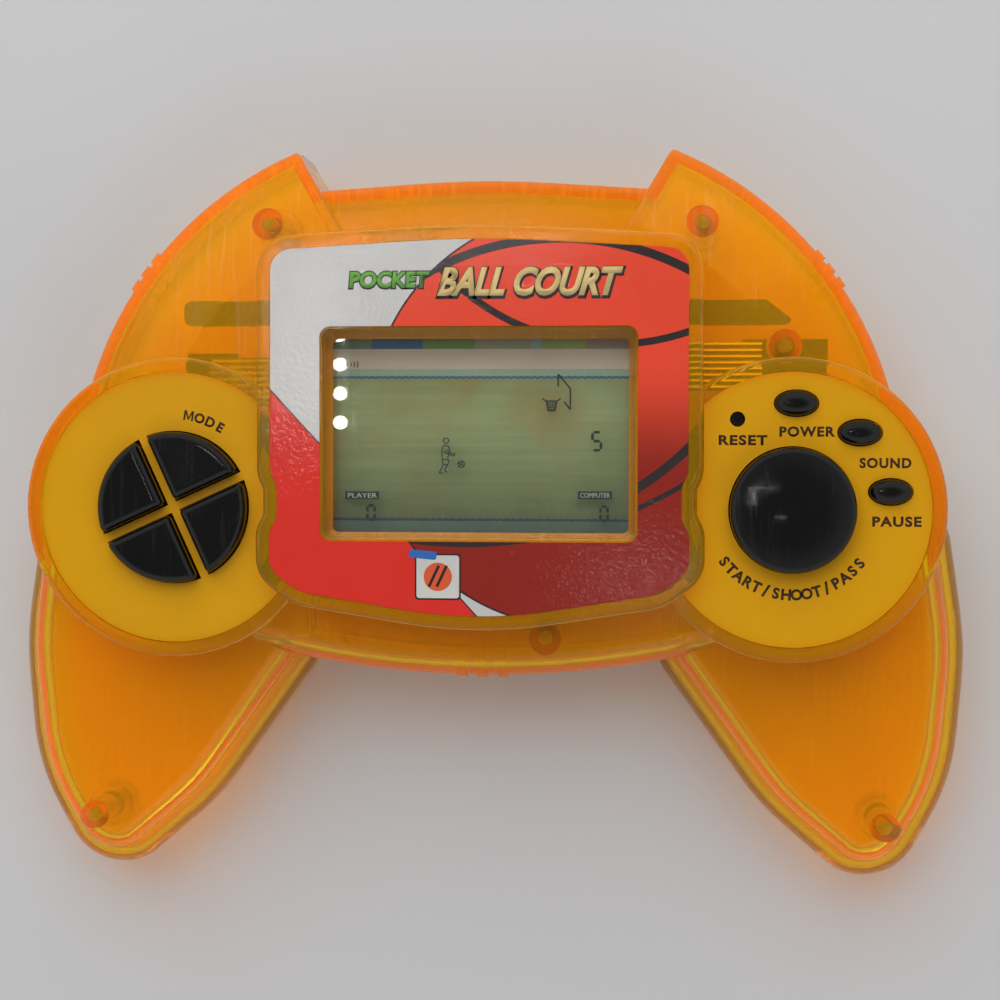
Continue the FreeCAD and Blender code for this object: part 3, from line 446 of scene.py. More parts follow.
shade = add(tree, "ShaderNodeMapRange", "bright top, dark bottom", interpolation_type="SMOOTHSTEP",
            From_Min=6.0, From_Max=24.0)
tree.links.new(y_mm, shade.inputs["Value"])
ball = mix_colour(tree, shade.outputs["Result"], BALL_DARK, BALL_BRIGHT)
for centre, radius, width in SEAMS:
    ball = mix_colour(tree, printed(tree, band_group, centre, radius, width), ball, INK)
art = mix_colour(tree, printed(tree, disc_group, BALL_CENTRE, BALL_RADIUS), ground, ball)
art = mix_colour(tree, printed(tree, band_group, BALL_CENTRE, BALL_RADIUS, BALL_RIM), art, INK)
print("ball with", len(SEAMS), "seams")

# %% [markdown]
# ## The sheet's screen dots and laminate
#
# Up close the print is a fine screen of dots, made here by the corners between cells of a regular
# Voronoi pattern. The clear laminate on top is the shader's coat, and it takes the same pebbled
# normal as the ink below it.

# %% Screen dots and laminate
DOT_FROM = 0.42
DOT_STRENGTH = 0.03
screen = add(tree, "ShaderNodeTexVoronoi", "print screen dots", feature="F1", Scale=6500.0,
             Randomness=0.15)
tree.links.new(place.outputs["Object"], screen.inputs["Vector"])
far_from_cell = math_node(tree, "GREATER_THAN", screen.outputs["Distance"], DOT_FROM)
dots = math_node(tree, "MULTIPLY", far_from_cell, DOT_STRENGTH)
art = mix_colour(tree, dots, art, (0.9, 0.75, 0.65))
texture_skin(tree, shader, art, grain_mm=0.65, depth_mm=0.030, patch_mm=14.0,
             roughness=(0.3, 0.42), tint=0.97)
laminate = tree.nodes["Bump"]
tree.links.new(laminate.outputs["Normal"], shader.inputs["Coat Normal"])
dress(label_print, "face_label")
print("printed face ready:", label_print.name)

# %% [markdown]
# ## Clear window and display glass
#
# The window and the two display panes are clear. They are glass-like shaders that let lamps through,
# so the printed card behind them is lit.

# %% Clear materials
def clear_finish(name, colour, lamp_tint, roughness, ior):
    material, tree, shader = start_material(name, colour, Transmission_Weight=1.0, IOR=ior)
    texture_skin(tree, shader, colour, grain_mm=9.0, depth_mm=0.001, patch_mm=18.0,
                 roughness=roughness, tint=0.995, scratches=0.15)
    clear_to_lamps(tree, shader, lamp_tint)
    return material


lens_clear = clear_finish("lens_clear", (0.97, 0.98, 0.96), (0.95, 0.95, 0.94), (0.0, 0.015), 1.49)
lcd_glass = clear_finish("lcd_glass", (0.94, 0.97, 0.92), (0.95, 0.96, 0.94), (0.0, 0.01), 1.35)
dress(lens_clear, "display_lens")
dress(lcd_glass, "lcd_front_glass", "lcd_rear_glass")
print("clear finishes:", lens_clear.name, lcd_glass.name)

# %% [markdown]
# ## The printed card behind the display
#
# The card shows a court: a row of coloured boxes, a pink crowd in coarse print, a blue line, a wooden
# floor with streaks along it, and another blue line. Each band is a step along Y. Rows of small
# dots stand for the coarse print.

# %% The wooden floor of the card
def y_band(tree, y_mm, low, high):
    """1 between two heights on the card."""
    over = math_node(tree, "GREATER_THAN", y_mm, low)
    under = math_node(tree, "LESS_THAN", y_mm, high)
    return math_node(tree, "MULTIPLY", over, under)


WOOD_DARK = (0.34, 0.345, 0.17)
WOOD_LIGHT = (0.40, 0.41, 0.25)
WOOD_WARM = (0.38, 0.28, 0.12)

backdrop, tree, shader = start_material("backdrop_print", (0.4, 0.42, 0.28), Roughness=0.6)
place = add(tree, "ShaderNodeTexCoord")
axes = add(tree, "ShaderNodeSeparateXYZ")
tree.links.new(place.outputs["Object"], axes.inputs[0])
x_mm = math_node(tree, "MULTIPLY", axes.outputs["X"], 1000.0)
y_mm = math_node(tree, "MULTIPLY", axes.outputs["Y"], 1000.0)

boards = add(tree, "ShaderNodeMapping", "planks run along X", Scale=(26.0, 850.0, 1.0))
streaks = add(tree, "ShaderNodeTexNoise", "wood streaks", Scale=1.0, Detail=3.0, Roughness=0.6)
tree.links.new(place.outputs["Object"], boards.inputs["Vector"])
tree.links.new(boards.outputs["Vector"], streaks.inputs["Vector"])
cloud = add(tree, "ShaderNodeTexNoise", "warm and cool areas", Scale=75.0, Detail=2.0)
tree.links.new(place.outputs["Object"], cloud.inputs["Vector"])
warm = add(tree, "ShaderNodeMapRange", From_Min=0.45, From_Max=0.72)
tree.links.new(cloud.outputs["Fac"], warm.inputs["Value"])
grain_line = add(tree, "ShaderNodeMapRange", From_Min=0.35, From_Max=0.70)
tree.links.new(streaks.outputs["Fac"], grain_line.inputs["Value"])
floor_colour = mix_colour(tree, grain_line.outputs["Result"], WOOD_DARK, WOOD_LIGHT)
floor_colour = mix_colour(tree, warm.outputs["Result"], floor_colour, WOOD_WARM)
print("wood drawn")

# %% [markdown]
# ## Coarse print and coloured boxes
#
# The crowd and the sky are printed as rows of coarse dots, which are the middles of the cells of a
# regular Voronoi pattern. The boxes above them differ in colour along X, so a stepped colour ramp
# gives one colour to each.

# %% Dots and boxes of the card
DOT_REACH = 0.36
DOTS_ON_WOOD = 0.14
halftone = add(tree, "ShaderNodeTexVoronoi", "coarse dots", feature="F1", Scale=2400.0,
               Randomness=0.1)
tree.links.new(place.outputs["Object"], halftone.inputs["Vector"])
dot = math_node(tree, "LESS_THAN", halftone.outputs["Distance"], DOT_REACH)
light_dot = math_node(tree, "MULTIPLY", dot, DOTS_ON_WOOD)
floor_colour = mix_colour(tree, light_dot, floor_colour, (0.20, 0.24, 0.10))
crowd = mix_colour(tree, dot, (0.80, 0.62, 0.58), (0.70, 0.40, 0.41))
sky = mix_colour(tree, dot, (0.42, 0.50, 0.46), (0.36, 0.44, 0.47))
CARD_WIDE = 48.8
# Where each box starts along X, in millimetres, and its colour.
BOX_COLOURS = ((-24.4, (0.20, 0.32, 0.25)), (-17.2, (0.06, 0.17, 0.42)),
               (-9.2, (0.22, 0.36, 0.11)), (-1.3, (0.42, 0.38, 0.31)),
               (7.6, (0.36, 0.46, 0.50)), (9.3, (0.38, 0.42, 0.13)),
               (16.0, (0.43, 0.27, 0.27)))
box_ramp = add(tree, "ShaderNodeValToRGB", "row of boxes")
box_ramp.color_ramp.interpolation = "CONSTANT"
for start, colour in BOX_COLOURS:
    along = (start + CARD_WIDE / 2) / CARD_WIDE
    stops = box_ramp.color_ramp.elements
    stop = stops[0] if along == 0.0 else stops.new(along)
    stop.color = (*colour, 1.0)
across_card = math_node(tree, "MULTIPLY_ADD", x_mm, 1 / CARD_WIDE, 0.5)
tree.links.new(across_card, box_ramp.inputs["Fac"])
print(len(BOX_COLOURS), "boxes")

# %% [markdown]
# ## Stacking the bands of the card
#
# The bands are laid over the wood one after another. The two blue lines get a slightly wavy edge,
# from a sine along X, so that they don't look ruled. Last, painted shade makes the whole card darker
# to the front, where the window well shades it.

# %% Bands of the card
SKY_FOOT = 21.4
CROWD_FOOT = 22.75
CROWD_TOP = 25.85
CARD_TOP = 40.0
REAR_LINE = (21.28, 21.66)
FRONT_LINE = (-0.70, -0.28)
CARD_FOOT = -9.0
WAVES = 6.0  # radians of the sine for each millimetre
WAVE_HEIGHT = 0.07
wobble = math_node(tree, "SINE", math_node(tree, "MULTIPLY", x_mm, WAVES))
wavy_y = math_node(tree, "MULTIPLY_ADD", wobble, WAVE_HEIGHT, y_mm)
card = mix_colour(tree, y_band(tree, y_mm, SKY_FOOT, CROWD_FOOT), floor_colour, sky)
card = mix_colour(tree, y_band(tree, y_mm, CROWD_FOOT, CROWD_TOP), card, crowd)
card = mix_colour(tree, y_band(tree, y_mm, CROWD_TOP, CARD_TOP), card, box_ramp.outputs["Color"])
card = mix_colour(tree, y_band(tree, wavy_y, *REAR_LINE), card, (0.06, 0.17, 0.33))
card = mix_colour(tree, y_band(tree, wavy_y, *FRONT_LINE), card, (0.03, 0.11, 0.26))
card = mix_colour(tree, y_band(tree, y_mm, CARD_FOOT, FRONT_LINE[0]), card, (0.30, 0.36, 0.37))
# Painted shade: the card darkens towards the front, where the window well shades it.
painted_shade = add(tree, "ShaderNodeMapRange", "painted shade to the front", From_Min=-3.0, From_Max=16.0,
           To_Min=0.74, To_Max=0.0)
tree.links.new(y_mm, painted_shade.inputs["Value"])
card = mix_colour(tree, painted_shade.outputs["Result"], card, (0.02, 0.03, 0.02))
texture_skin(tree, shader, card, grain_mm=0.12, depth_mm=0.004, patch_mm=9.0,
             roughness=(0.5, 0.65), tint=0.95)
dress(backdrop, "lcd_backdrop")
print("display card painted:", backdrop.name)

# %% [markdown]
# ## Circuit boards
#
# Boards are resin with a dark olive-brown mask. Copper tracks under the mask show as slightly lighter
# lines on a square grid, so a brick pattern of thin lines stands for them.

# %% The board material
board_dark, tree, shader = start_material("board_dark", (0.024, 0.020, 0.009))
place = add(tree, "ShaderNodeTexCoord")
tracks = add(tree, "ShaderNodeTexBrick", "tracks", Scale=1.0, Mortar_Size=0.16, Brick_Width=3.1,
             Row_Height=1.3, Color1=(0.022, 0.018, 0.008, 1), Color2=(0.027, 0.022, 0.010, 1),
             Mortar=(0.055, 0.045, 0.020, 1))
zoomed = add(tree, "ShaderNodeMapping", Scale=(1000, 1000, 1000))
tree.links.new(place.outputs["Object"], zoomed.inputs["Vector"])
tree.links.new(zoomed.outputs["Vector"], tracks.inputs["Vector"])
texture_skin(tree, shader, tracks.outputs["Color"], grain_mm=0.4, depth_mm=0.01, patch_mm=10,
             roughness=(0.28, 0.42), tint=0.9)
dress(board_dark, "main_board", "left_key_board", "right_key_board")
print("boards:", board_dark.name)

# %% [markdown]
# ## The flat ribbons
#
# Each ribbon is a row of bright conductors under clear film. The stripes run along X, with a dark
# gap between two conductors.

# %% The ribbon material
WIRE_PITCH = 0.95  # millimetres from one conductor to the next
ribbon_silver, tree, shader = start_material("ribbon_silver", (0.6, 0.55, 0.45), Metallic=0.6)
place = add(tree, "ShaderNodeTexCoord")
axes = add(tree, "ShaderNodeSeparateXYZ")
tree.links.new(place.outputs["Object"], axes.inputs[0])
turns = math_node(tree, "MULTIPLY", axes.outputs["Y"], 1000.0 * math.tau / WIRE_PITCH)
wave = math_node(tree, "SINE", turns)
stripe = math_node(tree, "GREATER_THAN", wave, -0.2)
wires = mix_colour(tree, stripe, (0.16, 0.12, 0.06), (0.74, 0.68, 0.52))
texture_skin(tree, shader, wires, grain_mm=0.6, depth_mm=0.01, patch_mm=5, roughness=(0.18, 0.3))
dress(ribbon_silver, "left_ribbon", "right_ribbon")
print("ribbons:", ribbon_silver.name)

# %% [markdown]
# ## Everything else inside
#
# Most inner parts are only half seen, through amber walls. They still get their own colour, grain
# and gloss, because a battery door can be slid off and the back looked into.

# %% Inner finishes from one table
INNER = {
    "holder_dark": ((0.035, 0.02, 0.012), dict(roughness=(0.5, 0.6)), ["lcd_holder"]),
    "strip_rubber": ((0.42, 0.12, 0.16), dict(roughness=(0.6, 0.7), grain_mm=0.15),
                     ["front_zebra_strip", "rear_zebra_strip"]),
    "mat_rubber": ((0.52, 0.52, 0.50), dict(roughness=(0.55, 0.7), grain_mm=0.3),
                   ["left_key_mat", "right_key_mat"]),
    "epoxy_black": ((0.012, 0.012, 0.014), dict(roughness=(0.2, 0.3), grain_mm=2.0, depth_mm=0.05),
                    ["chip_blob"]),
    "capacitor_sleeve": ((0.02, 0.03, 0.10), dict(roughness=(0.28, 0.38)), ["capacitors"]),
    "resonator_case": ((0.45, 0.16, 0.03), dict(roughness=(0.35, 0.5)), ["resonator"]),
    "resistor_body": ((0.55, 0.42, 0.24), dict(roughness=(0.3, 0.4)), ["resistors"]),
    "piezo_brass": ((0.72, 0.50, 0.18), dict(roughness=(0.22, 0.38), scratches=1.0, Metallic=1.0),
                    ["piezo_disc"]),
    "foam_white": ((0.72, 0.72, 0.68), dict(roughness=(0.8, 0.9), grain_mm=0.25, depth_mm=0.08),
                   ["piezo_foam_ring"]),
    "plated_steel": ((0.62, 0.61, 0.58), dict(roughness=(0.18, 0.32), scratches=1.0, Metallic=1.0),
                     ["contact_bridge", "bridge_spring", "positive_contact", "negative_contact",
                      "negative_spring"]),
    "lead_red": ((0.45, 0.012, 0.012), dict(roughness=(0.35, 0.45)), ["positive_lead"]),
    "lead_black": ((0.015, 0.015, 0.015), dict(roughness=(0.35, 0.45)),
                   ["negative_lead", "speaker_leads"]),
    "screw_steel": ((0.46, 0.46, 0.44), dict(roughness=(0.25, 0.42), scratches=1.0, Metallic=1.0),
                    ["case_screws", "board_screws"]),
}
for name, (colour, values, wearers) in INNER.items():
    dress(simple_finish(name, colour, **values), *wearers)
print(len(INNER), "inner finishes")

# %% [markdown]
# ## The cells
#
# A cell's wrap is printed round the can: dark, with a copper-coloured band at its plus end and bare
# steel at both ends. The cells lie along X, so the bands are steps along X.

# %% The cell material
COPPER_BAND = 13.0  # all three are millimetres from the tip of the plus end
PLUS_STEEL = 1.6
MINUS_STEEL = 43.6


def cell_finish(name, plus_side):
    material, tree, shader = start_material(name, (0.1, 0.1, 0.1))
    low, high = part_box(name)
    tip = (high[0] if plus_side > 0 else low[0]) / MM
    place = add(tree, "ShaderNodeTexCoord")
    axes = add(tree, "ShaderNodeSeparateXYZ")
    tree.links.new(place.outputs["Object"], axes.inputs[0])
    x_mm = math_node(tree, "MULTIPLY", axes.outputs["X"], 1000.0)
    from_tip = math_node(tree, "MULTIPLY", math_node(tree, "SUBTRACT", tip, x_mm), float(plus_side))
    banded = math_node(tree, "LESS_THAN", from_tip, COPPER_BAND)
    bare_plus = math_node(tree, "LESS_THAN", from_tip, PLUS_STEEL)
    bare_minus = math_node(tree, "GREATER_THAN", from_tip, MINUS_STEEL)
    bare = math_node(tree, "MAXIMUM", bare_plus, bare_minus)
    wrap = mix_colour(tree, banded, (0.02, 0.022, 0.028), (0.50, 0.22, 0.07))
    wrap = mix_colour(tree, bare, wrap, (0.62, 0.62, 0.60))
    texture_skin(tree, shader, wrap, grain_mm=0.8, depth_mm=0.006, roughness=(0.2, 0.32),
                 scratches=0.6)
    tree.links.new(bare, shader.inputs["Metallic"])
    dress(material, name)


cell_finish("front_cell", 1)
cell_finish("rear_cell", -1)
print("cells wrapped")

# %% [markdown]
# ## Ink and lettering
#
# The words beside the keys are pad-printed: a film of ink a few hundredths of a millimetre thick.
# Blender's text objects give the letters, and they become a mesh before they are put in place, so
# that the finished piece sits at the origin like every CAD node.

# %% The ink materials
legend_ink = simple_finish("legend_ink", (0.045, 0.016, 0.004), roughness=(0.4, 0.5), grain_mm=0.2,
                           depth_mm=0.002, patch_mm=1.5, tint=0.7)
title_ink = simple_finish("title_ink", (0.72, 0.52, 0.20), roughness=(0.3, 0.4), grain_mm=0.4,
                          patch_mm=6.0, tint=0.85, Coat_Weight=0.6)
outline_ink = simple_finish("outline_ink", INK, roughness=(0.3, 0.4), grain_mm=0.4, Coat_Weight=0.6)
small_title_ink = simple_finish("small_title_ink", (0.14, 0.38, 0.06), roughness=(0.3, 0.4),
                                grain_mm=0.4, Coat_Weight=0.6)
segment_ink = simple_finish("segment_ink", (0.012, 0.024, 0.026), roughness=(0.4, 0.5), grain_mm=0.2,
                            patch_mm=1.0, tint=0.75)
print("inks:", [ink.name for ink in (legend_ink, title_ink, outline_ink, small_title_ink, segment_ink)])

# %% [markdown]
# ## Flat pieces
#
# All ink pieces are made the same way: a flat outline gets a slight thickness with an extrude, its
# skin is made to face outwards, and then the mesh itself is moved to its place on the game.

# %% Helpers that place flat pieces
def keep(name, mesh, material, body="casing", slot_name="label_print"):
    """Makes a finished piece at the origin from a mesh already in place."""
    mesh.name = name
    mesh.materials.clear()
    mesh.materials.append(material)
    piece = bpy.data.objects.new(name, mesh)
    scene.collection.objects.link(piece)
    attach(piece, body)
    return piece


def text_mesh(words, height, bold=0.0, slant=0.0, spacing=1.0, thick=0.02):
    """A centred line of text as a mesh, in millimetres: capitals are `height` tall."""
    curve = bpy.data.curves.new("words", "FONT")
    curve.body = words
    curve.align_x = "CENTER"
    curve.size = 1.0
    curve.offset = bold
    curve.shear = slant
    curve.space_character = spacing
    curve.resolution_u = 4
    holder = bpy.data.objects.new("words", curve)
    scene.collection.objects.link(holder)
    bpy.context.view_layer.update()
    mesh = bpy.data.meshes.new_from_object(holder)
    bpy.data.objects.remove(holder)
    rows = [v.co.y for v in mesh.vertices]
    tall = max(rows) - min(rows)
    mesh.transform(Matrix.Translation((0, -(max(rows) + min(rows)) / 2, 0)))
    mesh.transform(Matrix.Scale(height / tall, 4))
    thicken(mesh, thick)
    return mesh


def thicken(mesh, thick):
    """Gives a flat mesh a thickness upwards and a clean, outward-facing skin."""
    work = bmesh.new()
    work.from_mesh(mesh)
    bmesh.ops.remove_doubles(work, verts=work.verts, dist=1e-5)
    raised = bmesh.ops.extrude_face_region(work, geom=list(work.faces))
    lifted = [g for g in raised["geom"] if isinstance(g, bmesh.types.BMVert)]
    bmesh.ops.translate(work, verts=lifted, vec=(0, 0, thick))
    bmesh.ops.recalc_face_normals(work, faces=work.faces)
    work.to_mesh(mesh)
    work.free()


def set_down(mesh, x, y, z, turn=0.0, stretch=1.0):
    """Moves a mesh drawn in millimetres to its place on the game; z is in metres."""
    mesh.transform(Matrix.Scale(stretch, 4, (1, 0, 0)))
    mesh.transform(Matrix.Rotation(math.radians(turn), 4, "Z"))
    mesh.transform(Matrix.Translation((x, y, 0)))
    mesh.transform(Matrix.Scale(MM, 4))
    mesh.transform(Matrix.Translation((0, 0, z)))
    return mesh


def joined(meshes):
    work = bmesh.new()
    for mesh in meshes:
        work.from_mesh(mesh)
        bpy.data.meshes.remove(mesh)
    result = bpy.data.meshes.new("joined")
    work.to_mesh(result)
    work.free()
    return result


print("helpers ready:", ", ".join(f.__name__ for f in (keep, text_mesh, thicken, set_down, joined)))

# %% [markdown]
# ## Words beside the keys
#
# Each key has its plain function word in heavy capitals. Four of the words run straight and are set
# down whole, stretched to the width they have on the game.

# %% Key legends
LEGEND_Z = PLATE_TOP + 0.004 * MM
LEGEND_BOLD = 0.038
LEGEND_TALL = 1.55
# Each word with its middle and its width, in millimetres.
STRAIGHT_WORDS = (("RESET", 39.85, 11.9, 7.3), ("POWER", 49.4, 13.2, 8.3),
                  ("SOUND", 61.2, 8.5, 7.7), ("PAUSE", 62.9, -0.3, 7.3))
legends = []
for words, x, y, width in STRAIGHT_WORDS:
    mesh = text_mesh(words, LEGEND_TALL, bold=LEGEND_BOLD, spacing=1.16)
    wide = max(v.co.x for v in mesh.vertices) - min(v.co.x for v in mesh.vertices)
    legends.append(set_down(mesh, x, y, LEGEND_Z, stretch=width / wide))
keep("key_words", joined(legends), legend_ink, slot_name="pad_yellow")
print("straight legends:", len(legends))

# %% [markdown]
# ## Letters on an arc
#
# Letters are set one by one, each turned to the arc. The built-in M fills in its notch when it is
# made bolder, so this letter is drawn from its own outline.

# %% Letters that follow a round key
def letter_m(tall, wide, thick=0.02):
    """The letter M as one outline: upright posts and a deep, pointed notch."""
    post = 0.19 * wide
    left = [(0, 0), (0, tall), (post * 1.25, tall), (wide / 2, tall * 0.36)]
    inner = [(wide / 2, tall * 0.02), (post, tall * 0.68), (post, 0)]
    right = [(wide - x, y) for x, y in reversed(left[:3])]
    inner_right = [(wide - x, y) for x, y in reversed(inner[1:])]
    work = bmesh.new()
    corners = [work.verts.new((x - wide / 2, y - tall / 2, 0))
               for x, y in left + right + inner_right + inner]
    work.faces.new(corners)
    mesh = bpy.data.meshes.new("M")
    work.to_mesh(mesh)
    work.free()
    thicken(mesh, thick)
    return mesh


def arc_words(words, centre, radius, first, last, height, inside):
    """Letters along an arc between two angles in degrees; `inside` turns their feet outwards."""
    placed = []
    for i, letter in enumerate(words):
        angle = first + (last - first) * (i + 0.5) / len(words)
        if letter == "M":
            mesh = letter_m(height, height * 0.98)
        else:
            mesh = text_mesh(letter, height * (1.15 if letter == "/" else 1.0), bold=LEGEND_BOLD)
        x = centre[0] + radius * math.cos(math.radians(angle))
        y = centre[1] + radius * math.sin(math.radians(angle))
        placed.append(set_down(mesh, x, y, LEGEND_Z, turn=angle + 90 if inside else angle - 90))
    return placed


start_words = arc_words("START/SHOOT/PASS", (POD.x / MM, POD_LINE / MM), radius=12.8, first=214,
                        last=325, height=1.7, inside=True)
mode_words = arc_words("MODE", (-POD.x / MM, POD_LINE / MM), radius=14.3, first=84.0, last=56.0,
                       height=LEGEND_TALL, inside=False)
keep("start_words", joined(start_words), legend_ink, slot_name="pad_yellow")
keep("mode_words", joined(mode_words), legend_ink, slot_name="pad_yellow")
print("letters on arcs:", len(start_words) + len(mode_words))

# %% [markdown]
# ## The title
#
# A plain title in slanted capitals, golden cream on a dark shadow that is the same word, fatter and
# a little lower. A smaller green word stands before it, with a thinner shadow.

# %% Title on the printed face
TITLE_Z = LABEL_TOP + 0.004 * MM


def fitted_words(words, x0, x1, y, height, z, bold, slant, grow=0.0, thick=0.02):
    mesh = text_mesh(words, height + grow, bold=bold, slant=slant, spacing=0.98, thick=thick)
    wide = max(v.co.x for v in mesh.vertices) - min(v.co.x for v in mesh.vertices)
    return set_down(mesh, (x0 + x1) / 2, y, z, stretch=(x1 - x0 + grow) / wide)


INK_STEP = 0.022 * MM
title_shadow = fitted_words("BALL COURT", x0=-6.9, x1=21.4, y=35.5, height=4.5, z=TITLE_Z,
                            bold=0.085, slant=0.35, grow=0.5)
keep("title_shadow", title_shadow, outline_ink)
title_words = fitted_words("BALL COURT", x0=-6.9, x1=21.2, y=35.7, height=4.4,
                           z=TITLE_Z + INK_STEP, bold=0.042, slant=0.35)
keep("title_words", title_words, title_ink)
small_shadow = fitted_words("POCKET", x0=-19.8, x1=-7.5, y=35.95, height=2.6, z=TITLE_Z,
                            bold=0.08, slant=0.1, grow=0.3)
keep("small_title_shadow", small_shadow, outline_ink)
small_words = fitted_words("POCKET", x0=-19.8, x1=-7.5, y=36.0, height=2.5,
                           z=TITLE_Z + INK_STEP, bold=0.04, slant=0.1)
keep("small_title_words", small_words, small_title_ink)
print("title set down")

# %% [markdown]
# ## The badge
#
# A small square badge sits under the display. Here it is a plain sign: a light square with a dark
# border and an orange disc, three thin pieces stacked one ink step apart.

# %% Badge pieces
def flat_square(half, corner, thick=0.02):
    """A rounded square, drawn in millimetres round the origin."""
    work = bmesh.new()
    bmesh.ops.create_grid(work, x_segments=1, y_segments=1, size=half)
    bmesh.ops.bevel(work, geom=list(work.verts), offset=corner, segments=4, affect="VERTICES",
                    profile=0.5, material=-1)
    mesh = bpy.data.meshes.new("square")
    work.to_mesh(mesh)
    work.free()
    thicken(mesh, thick)
    return mesh


def flat_disc(radius, thick=0.02, sides=40):
    work = bmesh.new()
    bmesh.ops.create_circle(work, cap_ends=True, segments=sides, radius=radius)
    mesh = bpy.data.meshes.new("disc")
    work.to_mesh(mesh)
    work.free()
    thicken(mesh, thick)
    return mesh


badge_white = simple_finish("badge_white", (0.62, 0.60, 0.56), grain_mm=0.4, Coat_Weight=0.6)
badge_orange = simple_finish("badge_orange", (0.70, 0.10, 0.03), grain_mm=0.4, Coat_Weight=0.6)
badge_blue = simple_finish("badge_blue", (0.03, 0.14, 0.45), grain_mm=0.4, Coat_Weight=0.6)
BADGE = (-6.0, -8.9)
BADGE_HALF = 3.5
BADGE_EDGE = 0.25
BALL_SIGN = 2.15
border = flat_square(BADGE_HALF, corner=0.55)
field = flat_square(BADGE_HALF - BADGE_EDGE, corner=0.45)
keep("badge_border", set_down(border, *BADGE, TITLE_Z), outline_ink)
keep("badge_field", set_down(field, *BADGE, TITLE_Z + INK_STEP), badge_white)
keep("badge_ball", set_down(flat_disc(BALL_SIGN), *BADGE, TITLE_Z + 2 * INK_STEP), badge_orange)
print("badge set down at", BADGE)

# %% [markdown]
# ## Display segments
#
# A segment display has dark shapes in its front glass that throw a soft shadow on the card behind.
# Here they are thin pieces lying just above that glass, where the shadow still falls on the card.
# Digits are made of bars with pointed ends. The signs are a hoop, a plain running figure with a
# ball, and a sound sign, all built from straight strokes. A stroke starts as a one-face grid.

# %% Bars and strokes
SEGMENT_Z = GLASS_TOP + 0.012 * MM
SEGMENT_THICK = 0.015
BAR_WIDE = 0.42
BAR_POINT = 0.14


def stroke(x0, y0, x1, y1, width, pointed=0.0):
    """A flat bar from one point to another, in millimetres."""
    work = bmesh.new()
    bmesh.ops.create_grid(work, x_segments=1, y_segments=1, size=0.5)
    length = math.hypot(x1 - x0, y1 - y0)
    bmesh.ops.scale(work, vec=(length, width, 1), verts=work.verts)
    if pointed:
        bmesh.ops.bevel(work, geom=list(work.verts), offset=pointed, segments=1, affect="VERTICES",
                        profile=0.5, material=-1)
    turn = math.atan2(y1 - y0, x1 - x0)
    bmesh.ops.rotate(work, verts=work.verts, matrix=Matrix.Rotation(turn, 3, "Z"))
    bmesh.ops.translate(work, verts=work.verts, vec=((x0 + x1) / 2, (y0 + y1) / 2, 0))
    mesh = bpy.data.meshes.new("stroke")
    work.to_mesh(mesh)
    work.free()
    thicken(mesh, SEGMENT_THICK)
    return mesh


def digit(x, y, wide, tall, lit):
    """A seven-bar digit with its lower left corner at (x, y)."""
    half = tall / 2
    bars = {"a": (0, tall, wide, tall), "b": (wide, half, wide, tall), "c": (wide, 0, wide, half),
            "d": (0, 0, wide, 0), "e": (0, 0, 0, half), "f": (0, half, 0, tall),
            "g": (0, half, wide, half)}
    made = []
    for key in lit:
        x0, y0, x1, y1 = bars[key]
        gap = BAR_POINT / math.hypot(x1 - x0, y1 - y0)
        made.append(stroke(x + x0 + (x1 - x0) * gap, y + y0 + (y1 - y0) * gap,
                           x + x1 - (x1 - x0) * gap, y + y1 - (y1 - y0) * gap, BAR_WIDE, BAR_POINT))
    return made


def polyline(points, width):
    return [stroke(*a, *b, width) for a, b in zip(points, points[1:])]


print("bars are", BAR_WIDE, "mm wide")

# %% [markdown]
# ## The running figure
#
# The figure is a head, two arms, a trunk and two legs in fine outline, with a ball beside it. Each
# line is a list of points in millimetres. A ring is a closed row of short strokes, which at this
# size looks round.

# %% Rings and the running figure
def ring_of_strokes(x, y, radius, width, sides=10):
    """A thin ring drawn as a closed row of short strokes."""
    turns = [math.tau * k / sides for k in range(sides + 1)]
    return polyline([(x + radius * math.cos(t), y + radius * math.sin(t)) for t in turns], width)


FINE = 0.17
figure = ring_of_strokes(-5.33, 11.7, 0.42, FINE)
for line in ([(-5.77, 10.95), (-6.0, 10.0), (-5.93, 9.05)], [(-5.0, 10.9), (-4.75, 10.0), (-5.1, 9.0)],
             [(-5.77, 10.95), (-5.0, 10.9)], [(-5.45, 10.3), (-4.5, 9.7), (-3.9, 9.7)],
             [(-5.77, 10.0), (-4.2, 9.35), (-3.9, 9.7)],
             [(-5.93, 8.9), (-4.83, 8.75), (-5.08, 7.95), (-5.77, 8.1), (-5.93, 8.9)],
             [(-5.77, 8.1), (-6.15, 7.15), (-6.4, 6.75), (-5.77, 6.7)],
             [(-5.08, 7.95), (-5.45, 7.45), (-5.5, 7.0), (-5.14, 6.9)]):
    figure += polyline(line, FINE)
figure += ring_of_strokes(-3.0, 8.1, 0.52, FINE)
figure += polyline([(-3.45, 8.35), (-2.55, 7.85)], FINE) + polyline([(-3.25, 7.7), (-2.75, 8.5)], FINE)
print("figure strokes:", len(figure))

# %% [markdown]
# ## The hoop, the sound sign and the digits
#
# The hoop is a board seen from its edge, a ring and a net of crossing lines that get narrower
# downwards. The sound sign is a dot and three chevrons. The digits stand for two scores and a
# countdown.

